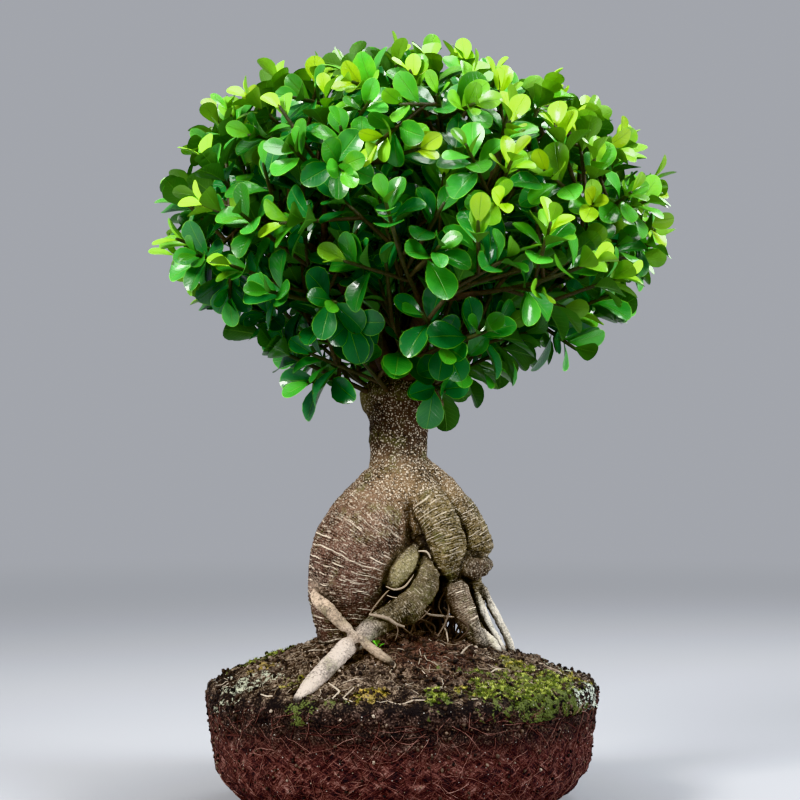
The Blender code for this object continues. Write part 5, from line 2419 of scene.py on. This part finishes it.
# The rootlets that stand out, each with its radius and its path in millimetres, and its tone
LAID_ROOTLETS = (
    (0.8, 0.85, ((-50.6, -101.4), (-43.6, -113.7), (-42.4, -122.3), (-47.4, -130.1))),
    (0.7, 0.80, ((-32.3, -116.4), (-38.7, -125.3), (-39.9, -132.6), (-37.5, -134.0), (-31.9, -135.0))),
    (0.7, 0.95, ((-98.8, -97.1), (-94.2, -101.5), (-92.2, -103.3), (-88.2, -106.7))),
    (0.8, 0.75, ((-9.7, -136.0), (0.6, -136.4), (8.9, -136.2), (17.7, -135.3))),
    (0.6, 0.70, ((-13.6, -100.4), (-16.3, -109.6))),
    (0.6, 0.65, ((-7.2, -72.7), (-3.2, -82.0), (-7.1, -95.1), (-5.0, -103.0))),
    (0.5, 0.60, ((-10.4, -70.0), (-8.0, -80.0), (-9.8, -90.0))),
    (0.6, 0.90, ((49.7, -129.2), (54.2, -127.4))),
    (0.7, 0.85, ((65.1, -77.1), (69.0, -70.0), (73.0, -63.4))),
    (0.6, 0.60, ((100.1, -10.2), (116.0, -14.0), (132.9, -18.7))),
    (0.7, 0.75, ((53.5, -24.0), (48.5, -42.0), (43.5, -58.0))),
    (0.5, 0.80, ((62.6, -43.0), (66.0, -46.0), (70.3, -47.0))),
)
HUNG_ROOTLETS = (
    (1.6, 0.60, ((-22.5, -62, 149), (-14.5, -62, 147.5), (-8, -59, 145), (-2.9, -57, 141.4),
                 (3, -52, 139))),
    (0.8, 0.65, ((-10.2, -42, 167.7), (-3.7, -44.5, 165.5), (3.7, -44, 168), (10, -38, 176))),
    (0.6, 0.50, ((-8, -44, 165), (-11, -50, 162.8), (-20.4, -52, 151.1), (-24, -50, 142))),
    (1.0, 0.62, ((18.0, -34, 149.4), (21.5, -33, 146.2), (31.4, -31, 144.9), (41, -24, 143.5))),
    (0.8, 0.25, ((35.4, -26, 153), (36.0, -31, 148.5), (33.4, -36, 140.5), (27.5, -41, 131))),
    (0.6, 0.45, ((1.5, -47, 139.3), (11.5, -46, 142.6), (17.2, -44, 146), (22, -38, 151))),
    (0.8, 0.80, ((11.5, -31, 192.6), (19.5, -33, 192.6), (22.6, -34, 187.8))),
    (0.5, 0.75, ((-9.5, -38, 160.8), (-3.5, -44.5, 159.6), (3, -42, 160.6))),
    (0.5, 0.60, ((-15, -42, 150.5), (-11, -46, 153.5), (-7, -43, 157.4))),
    (0.5, 0.20, ((-3.5, -57, 142), (-1.5, -60, 137), (-3.5, -63, 130))),
    (0.7, 0.70, ((31, -30, 139), (34, -35, 134), (35.3, -40, 127))),
)


@dataclass(frozen=True)
class Spread:
    """A drawn size: the least, how much more the most is, and a power that keeps it near the least."""

    least: float
    more: float
    power: float = 1.0

    def drawn(self, draw: random.Random) -> float:
        """One size."""
        return self.least + self.more * draw.random() ** self.power


@dataclass(frozen=True)
class Felt:
    """A kind of root on the wall: how many, how steep, the bounds of its steps, and its radius."""

    count: int
    steepness: float
    steps: tuple[int, int]
    radius: Spread


@dataclass(frozen=True)
class GroundCover:
    """What lies on the soil ball: crumbs, moss tufts, the felt of its wall and the rootlets of its top."""

    ball: SoilBall
    surface: BVHTree
    draw: random.Random = field(default_factory=lambda: random.Random(11))
    above: float = 0.2
    outside: float = 0.25
    dull: float = 1.5
    kinds: int = 4
    crumbs: int = 4600
    crumb_reach: float = 0.985
    crumb_size: Spread = Spread(0.0005, 0.0017, 3)
    crumb_lift: float = 0.3
    crumb_knobs: float = 0.45
    crumb_flatness: float = 0.75
    dark_radius: float = 0.122
    dark_tone: float = 0.55
    dark_rust: float = 0.8
    wall_crumbs: int = 1300
    wall_crumb_height: Spread = Spread(0.088, -0.065, 1.7)
    wall_crumb_size: Spread = Spread(0.0005, 0.0012, 2)
    tufts: int = 2600
    tuft_reach: float = 1.3
    tuft_edge: float = 0.99
    tuft_depth: float = 0.0004
    tuft_upright: float = 0.5
    tuft_size: Spread = Spread(0.0010, 0.0016)
    least_moss: Spread = Spread(0.36, 0.40)
    shoots: int = 7
    shoot_spread: float = 0.35
    shoot_radius: float = 0.16
    shoot_lengths: tuple[float, float] = (0.7, 1.1)
    least_lean: float = 0.15
    more_lean: float = 0.75
    felts: tuple[Felt, ...] = (Felt(60, 0.5, (12, 24), Spread(0.00015, 0.00030, 2)),
                               Felt(1900, 0.9, (5, 9), Spread(0.00015, 0.00020, 2)))
    felt_start: tuple[float, float] = (0.003, 0.082)
    felt_bounds: tuple[float, float] = (0.002, 0.088)
    felt_step: tuple[float, float] = (0.0026, 0.0042)
    felt_bend: tuple[float, float] = (-0.3, 0.3)
    felt_waver: float = 0.14
    felt_tone: float = 0.9
    fibres: int = 900
    fibre_reach: float = 0.96
    fibre_edge: float = 0.97
    fibre_radius: Spread = Spread(0.00018, 0.00032, 3)
    fibre_step: float = 0.0026
    fibre_steps: tuple[int, int] = (4, 9)
    fibre_bend: tuple[float, float] = (-0.9, 0.9)
    fibre_waver: float = 0.25
    tangled: int = 46
    tangle_seed: int = 12
    tangle_x: tuple[float, float] = (0.004, 0.052)
    tangle_y: tuple[float, float] = (-0.030, 0.020)
    tangle_top: tuple[float, float] = (0.146, 0.166)
    tangle_radius: tuple[float, float] = (0.0005, 0.0014)
    tangle_depth: float = 0.003
    seedling: tuple[float, float] = (-0.0165, -0.0665)
    seedling_leaves: int = 5
    seedling_rise: float = math.radians(15)
    seedling_more_rise: float = math.radians(14)
    seedling_low: float = 0.0015
    seedling_spacing: float = 0.0012
    seedling_size: float = 0.0085
    seedling_shrink: float = 0.0008
    seedling_tone: float = 0.8
    seedling_hue: float = 0.62

    EARTH = ((0.05, (0.006, 0.005, 0.005)), (0.50, (0.042, 0.030, 0.024)), (0.85, (0.170, 0.122, 0.090)),
             (0.99, (0.50, 0.43, 0.35)))
    GREEN = ((0.10, (0.010, 0.020, 0.004)), (0.50, (0.110, 0.155, 0.022)), (0.95, (0.58, 0.64, 0.16)))
    YELLOWING = (1.25, 0.80, 0.8)
    RUSSET = ((0.05, (0.012, 0.006, 0.006)), (0.50, (0.105, 0.044, 0.038)), (0.85, (0.28, 0.155, 0.130)),
              (1.0, (0.46, 0.36, 0.31)))
    PALE = ((0.05, (0.050, 0.034, 0.025)), (0.50, (0.20, 0.150, 0.105)), (0.95, (0.58, 0.50, 0.40)))

    def build(self, blades: Sequence[bpy.types.Mesh], young: LeafFinish) -> None:
        """Builds every kind of ground cover.

        Args:
            blades: The unit blades, for the seedling's leaves.
            young: The finish of young leaves.
        """
        earth = CrumbFinish("crumbs", self.EARTH, 0.9)
        crumbs = self._crumb_rows() + self._wall_crumb_rows()
        self._scattered("crumbs", self._crumb_kinds(), crumbs, earth, "soil")
        green = CrumbFinish("moss", self.GREEN, 0.75, self.YELLOWING)
        self._scattered("moss", self._tuft_kinds(), self._tuft_rows(), green, "soil")
        felt, pale = CrumbFinish("felt", self.RUSSET, 0.75), CrumbFinish("rootlets", self.PALE, 0.7)
        dressed(strand_piece("wall_roots", self._felt(), felt, 4, 1), "soil")
        dressed(strand_piece("fibres", self._fibres(), pale, 4, 1), "soil")
        dressed(strand_piece("rootlets", self._rootlets(), pale, 8, 5), "soil")
        self._scattered("seedling", blades, self._seedling_rows(), young, "young_leaf")

    @staticmethod
    def _scattered(name: str, kinds: Sequence[bpy.types.Mesh], rows: Sequence[Placed], finish: Finish,
                   slot: str) -> None:
        """Builds one piece of scattered copies.

        Args:
            name: The piece's name.
            kinds: The small meshes.
            rows: The copies.
            finish: Its finish.
            slot: Its slot.
        """
        scatter = Scatter(name, kinds)
        dressed(scatter.made(name, rows, finish), slot)
        scatter.clear()

    def _dropped(self, x: float, y: float) -> tuple[Vector, Vector]:
        """Where a thing dropped at (x, y) comes to rest, and the surface's normal there."""
        return self.surface.ray_cast(Vector((x, y, self.above)), DOWN)[:2]

    def _pushed(self, angle: float, height: float) -> tuple[Vector, Vector]:
        """Where a thing pushed inwards at an angle and height meets the wall, and the normal there."""
        outward = polar(1, angle)
        return self.surface.ray_cast(outward * self.outside + UP * height, -outward)[:2]

    def _strewn(self, reach: float) -> tuple[float, float]:
        """A random place on the mound.

        Args:
            reach: How far out it may be, in shares of the rim's radius.

        Returns:
            Its x and y.
        """
        radius = self.ball.rim_radius * reach * math.sqrt(self.draw.random())
        angle = self.draw.uniform(0, FULL_TURN)
        return radius * math.cos(angle), radius * math.sin(angle)

    def _crumb_rows(self) -> list[Placed]:
        """Crumbs over the whole mound, darker in the rust and at the rim.

        Returns:
            The crumbs.
        """
        draw, ball, rows = self.draw, self.ball, []
        for _ in range(self.crumbs):
            x, y = self._strewn(self.crumb_reach)
            from_rust = math.hypot(x - ball.rust_middle[0], y - ball.rust_middle[1])
            dark = from_rust < ball.rust_reach * self.dark_rust or math.hypot(x, y) > self.dark_radius
            tone = draw.random() * (self.dark_tone if dark else 1.0)
            rows.append(self._crumb(self._dropped(x, y), self.crumb_size.drawn(draw), tone))
        return rows

    def _wall_crumb_rows(self) -> list[Placed]:
        """Crumbs that stick to the wall, most of them near the rim.

        Returns:
            The crumbs.
        """
        draw, rows = self.draw, []
        for _ in range(self.wall_crumbs):
            height = self.wall_crumb_height.drawn(draw)
            met = self._pushed(draw.uniform(0, FULL_TURN), height)
            rows.append(self._crumb(met, self.wall_crumb_size.drawn(draw), draw.random() ** self.dull))
        return rows

    def _crumb(self, met: tuple[Vector, Vector], size: float, tone: float) -> Placed:
        """One crumb, half sunk in the surface.

        Args:
            met: Where it meets the surface, and the normal there.
            size: Its size.
            tone: Its tone.

        Returns:
            The crumb.
        """
        place, normal = met
        turn = tuple(self.draw.uniform(0, FULL_TURN) for _ in range(3))
        place = place + normal * size * self.crumb_lift
        return Placed(place, turn, size, self.draw.randrange(self.kinds), tone)

    def _crumb_kinds(self) -> list[bpy.types.Mesh]:
        """Knobbly crumbs about 2 across.

        Returns:
            Their meshes.
        """
        kinds = []
        for number in range(self.kinds):
            form = bmesh.new()
            bmesh.ops.create_icosphere(form, subdivisions=1, radius=1.0)
            for vertex in form.verts:
                knob = noise.noise(vertex.co * 1.7 + Vector((number * 5.0, 0, 0)))
                vertex.co *= 1 + self.crumb_knobs * knob
                vertex.co.z *= self.crumb_flatness
            mesh = bpy.data.meshes.new(f"crumb_{number}")
            form.to_mesh(mesh)
            form.free()
            kinds.append(mesh)
        return kinds

    def _tuft_rows(self) -> list[Placed]:
        """Moss tufts, thickest in the middle of each patch, and none on lichen.

        Returns:
            The tufts.
        """
        draw, rows = self.draw, []
        patches = [p for p in self.ball.patches if p.moss not in (Moss.TEAL, Moss.GREY)]
        weights = [p.half_x * p.half_y * p.lush for p in patches]
        while len(rows) < self.tufts:
            patch = draw.choices(patches, weights)[0]
            angle, reach = draw.uniform(0, FULL_TURN), self.tuft_reach * math.sqrt(draw.random())
            x = patch.x + patch.half_x * reach * math.cos(angle)
            y = patch.y + patch.half_y * reach * math.sin(angle)
            if math.hypot(x, y) > self.ball.rim_radius * self.tuft_edge:
                continue
            place, normal = self._dropped(x, y)
            moss, _ = self.ball.moss_at(np.array([place]))
            if moss[0] < self.least_moss.drawn(draw):
                continue
            tilt = normal.lerp(UP, self.tuft_upright).normalized().to_track_quat("Z", "Y").to_euler()
            turn = (tilt.x, tilt.y, draw.uniform(0, FULL_TURN))
            size, kind = self.tuft_size.drawn(draw), draw.randrange(self.kinds)
            place = place - normal * self.tuft_depth
            rows.append(Placed(place, turn, size, kind, draw.random(), patch.hue))
        return rows

    def _tuft_kinds(self) -> list[bpy.types.Mesh]:
        """Tufts of tiny three-sided moss shoots, about 1 tall.

        Returns:
            Their meshes.
        """
        kinds = []
        for number in range(self.kinds):
            draw = random.Random(number)
            vertices, faces = [], []
            for shoot in range(self.shoots):
                angle, lean = shoot * GOLDEN_ANGLE, self.least_lean + self.more_lean * shoot / self.shoots
                base = polar(1, angle) * self.shoot_spread * lean
                tip = base + polar(lean, angle, 1) * draw.uniform(*self.shoot_lengths)
                start = len(vertices)
                vertices += [base + polar(1, angle + side * FULL_TURN / 3, -0.2) * self.shoot_radius
                             for side in range(3)]
                vertices.append(tip)
                faces += [(start, start + 1, start + 3), (start + 1, start + 2, start + 3),
                          (start + 2, start, start + 3), (start + 2, start + 1, start)]
            kinds.append(plain_mesh(f"tuft_{number}", vertices, faces))
        return kinds

    def _felt(self) -> list[Strand]:
        """A few long roots that wander round the wall, and short fine ones matted over it.

        Returns:
            The roots.
        """
        return [root for kind in self.felts for _ in range(kind.count) for root in self._wall_root(kind)]

    def _wall_root(self, kind: Felt) -> list[Strand]:
        """One root on the wall.

        Args:
            kind: What kind of root it is.

        Returns:
            The root, or nothing if it leaves the wall too soon.
        """
        draw, (lowest, highest) = self.draw, self.felt_bounds
        angle, height = draw.uniform(0, FULL_TURN), draw.uniform(*self.felt_start)
        slope, bend = draw.gauss(0, kind.steepness), draw.uniform(*self.felt_bend)
        step, count = draw.uniform(*self.felt_step), draw.randrange(*kind.steps)
        radius = kind.radius.drawn(draw)
        points = []
        for index in range(count):
            slope += bend * 0.25 + draw.gauss(0, self.felt_waver)
            angle += step * math.cos(slope) / self.ball.rim_radius
            height += step * math.sin(slope)
            if not lowest < height < highest:
                break
            place, normal = self._pushed(angle, height)
            points.append(place + normal * radius * (0.4 + 1.4 * (index % 3 == 1)))
        return [Strand.tapered(points, radius, self.felt_tone * draw.random())] if len(points) > 3 else []

    def _fibres(self) -> list[Strand]:
        """Short brown and pale fibres strewn over the mound.

        Returns:
            The fibres.
        """
        draw, strands = self.draw, []
        for _ in range(self.fibres):
            x, y = self._strewn(self.fibre_reach)
            heading, bend = draw.uniform(0, FULL_TURN), draw.uniform(*self.fibre_bend)
            thick = self.fibre_radius.drawn(draw)
            points = []
            for _ in range(draw.randrange(*self.fibre_steps)):
                heading += bend * 0.35 + draw.gauss(0, self.fibre_waver)
                x, y = x + self.fibre_step * math.cos(heading), y + self.fibre_step * math.sin(heading)
                if math.hypot(x, y) > self.ball.rim_radius * self.fibre_edge:
                    break
                place, normal = self._dropped(x, y)
                points.append(place + normal * thick * 1.2)
            if len(points) > 2:
                strands.append(Strand.tapered(points, thick, draw.random() ** self.dull))
        return strands

    def _seedling_rows(self) -> list[Placed]:
        """The leaves of a small seedling, by the flat root's end.

        Returns:
            The leaves.
        """
        place, _ = self._dropped(*self.seedling)
        rows = []
        for number in range(self.seedling_leaves):
            turned = Matrix.Rotation(number * GOLDEN_ANGLE, 3, "Z")
            raised = Matrix.Rotation(self.seedling_rise + self.seedling_more_rise * number, 3, "X")
            base = place + UP * (self.seedling_low + self.seedling_spacing * number)
            turn = tuple((turned @ raised).to_euler())
            size = self.seedling_size - self.seedling_shrink * number
            rows.append(Placed(base, turn, size, number, self.seedling_tone, self.seedling_hue))
        return rows

    def _rootlets(self) -> list[Strand]:
        """The pale rootlets that stand out: on the soil, and across the hollow under the trunk.

        Returns:
            The rootlets, and the tangle behind them.
        """
        strands = []
        for radius, tone, path in LAID_ROOTLETS:
            met = [self._dropped(x / 1000, y / 1000) for x, y in path]
            points = [place + normal * radius * 0.0008 for place, normal in met]
            strands.append(Strand.tapered(points, radius / 1000, tone))
        for radius, tone, path in HUNG_ROOTLETS:
            strands.append(Strand.tapered([Vector(point) / 1000 for point in path], radius / 1000, tone))
        return strands + self._tangle()

    def _tangle(self) -> list[Strand]:
        """Thin roots between the prop root and the legs; their dark tones are painted shade in that
        hollow.

        Returns:
            The roots.
        """
        draw, strands = random.Random(self.tangle_seed), []
        for _ in range(self.tangled):
            x, y = draw.uniform(*self.tangle_x), draw.uniform(*self.tangle_y)
            foot, _ = self._dropped(x, y)
            x, y = x + draw.gauss(0, 0.012), y + draw.uniform(-0.004, 0.014)
            head = Vector((x, y, draw.uniform(*self.tangle_top)))
            sway = Vector((draw.gauss(0, 0.006), draw.gauss(0, 0.004), 0))
            points = [foot - UP * self.tangle_depth, foot.lerp(head, 0.35) + sway,
                      foot.lerp(head, 0.7) - sway * 0.6, head]
            # Dark tones: painted shade in the hollow under the trunk.
            radius, tone = draw.uniform(*self.tangle_radius), draw.uniform(0.0, 0.28)
            strands.append(Strand.tapered(points, radius, tone))
        return strands


# Stage


@dataclass(frozen=True)
class Lamp:
    """A soft square light: its name, its place, the length of its sides, its watts and its colour."""

    name: str
    place: tuple[float, float, float]
    size: float
    power: float
    colour: Colour = (1.0, 1.0, 1.0)

    def build(self, aim: Vector) -> None:
        """Hangs the light.

        Args:
            aim: The place that it points at.
        """
        light = bpy.data.lights.new(self.name, "AREA")
        light.shape, light.size, light.energy, light.color = "SQUARE", self.size, self.power, self.colour
        lamp = linked(self.name, light)
        lamp.location = self.place
        lamp.rotation_euler = (aim - Vector(self.place)).to_track_quat("-Z", "Y").to_euler()


@dataclass(frozen=True)
class Studio:
    """The floor, the lights and the camera, which stands where the photo was taken from."""

    distance: float = 1.73
    height: float = 0.3045
    lens: float = 103.5
    sensor: float = 36.0
    nearest: float = 0.02
    floor_size: float = 30.0
    fade_start: float = 0.5
    fade_end: float = 2.8
    pale: Colour = (0.385, 0.395, 0.42)
    horizon: Colour = (0.40, 0.415, 0.45)
    ambient: Colour = (0.252, 0.266, 0.287)
    aim: Vector = field(default_factory=lambda: Vector((0, 0, 0.32)))
    lamps: tuple[Lamp, ...] = (Lamp("key", (-1.3, -1.2, 1.45), 0.6, 66, (1.0, 0.98, 0.95)),
                               Lamp("fill", (1.6, -0.9, 1.15), 0.8, 46, (0.97, 0.99, 1.0)),
                               Lamp("top", (0.2, 0.0, 1.9), 1.0, 24),
                               Lamp("rim", (0.9, 1.4, 1.3), 0.8, 14))

    def build(self) -> None:
        """Builds the whole stage."""
        self._floor()
        self._camera()
        bpy.context.scene.view_settings.view_transform = "Khronos PBR Neutral"
        for lamp in self.lamps:
            lamp.build(self.aim)
        world = bpy.data.worlds.new("studio")
        world.use_nodes = True
        graph = Graph(world.node_tree)
        seen = graph.value("ShaderNodeLightPath", None, None, "Is Camera Ray")
        air = graph.mix(seen, self.ambient, self.horizon)
        world.node_tree.links.new(air.socket, world.node_tree.nodes["Background"].inputs[0])
        bpy.context.scene.world = world

    def _floor(self) -> bpy.types.Object:
        """A plain floor that fades into the background all round.

        Returns:
            The floor.
        """
        half = self.floor_size / 2
        corners = [(-half, -half, 0), (half, -half, 0), (half, half, 0), (-half, half, 0)]
        finish = Finish("floor")
        graph, black = finish.graph, (0.0, 0.0, 0.0)
        away = graph.value("ShaderNodeVectorMath", {"operation": "LENGTH"}, {0: finish.place}, "Value")
        far = away.step(self.fade_start, self.fade_end)
        finish.feed("Base Color", graph.mix(far, self.pale, black))
        finish.feed("Emission Color", graph.mix(far, black, self.horizon))
        finish.feed("Emission Strength", 1.0)
        finish.feed("Roughness", 0.9)
        finish.feed("Specular IOR Level", 0.0)
        return worn(linked("floor", plain_mesh("floor", corners, [(0, 1, 2, 3)])), finish)

    def _camera(self) -> None:
        """The camera: level, in front of the trunk."""
        lens = bpy.data.cameras.new("camera")
        lens.lens, lens.sensor_width, lens.clip_start = self.lens, self.sensor, self.nearest
        camera = linked("camera", lens)
        camera.location = (0, -self.distance, self.height)
        camera.rotation_euler = (math.pi / 2, 0, 0)
        bpy.context.scene.camera = camera


def main() -> None:
    """Builds the plant's looks and its stage around the frame."""
    logging.basicConfig(level=logging.INFO, format="%(message)s")
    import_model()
    Studio().build()
    crown = Crown(Growth(), FINE_GROWTH)
    LOG.info("%d leaves", sum(len(spray.leaves) + len(spray.young) for spray in crown.sprays))
    ball = SoilBall()
    dressed(Trunk(ball).build(BarkFinish()), "bark", "trunk_and_roots")
    foliage, young = Foliage(crown), LeafFinish("young_leaf")
    foliage.build(LeafFinish("leaf"), young, TwigFinish())
    soil = dressed(ball.build(SoilFinish()), "soil", "soil_ball")
    GroundCover(ball, surface_of(soil.data)).build(foliage.unit_blades(), young)


if __name__ == "__main__":
    main()
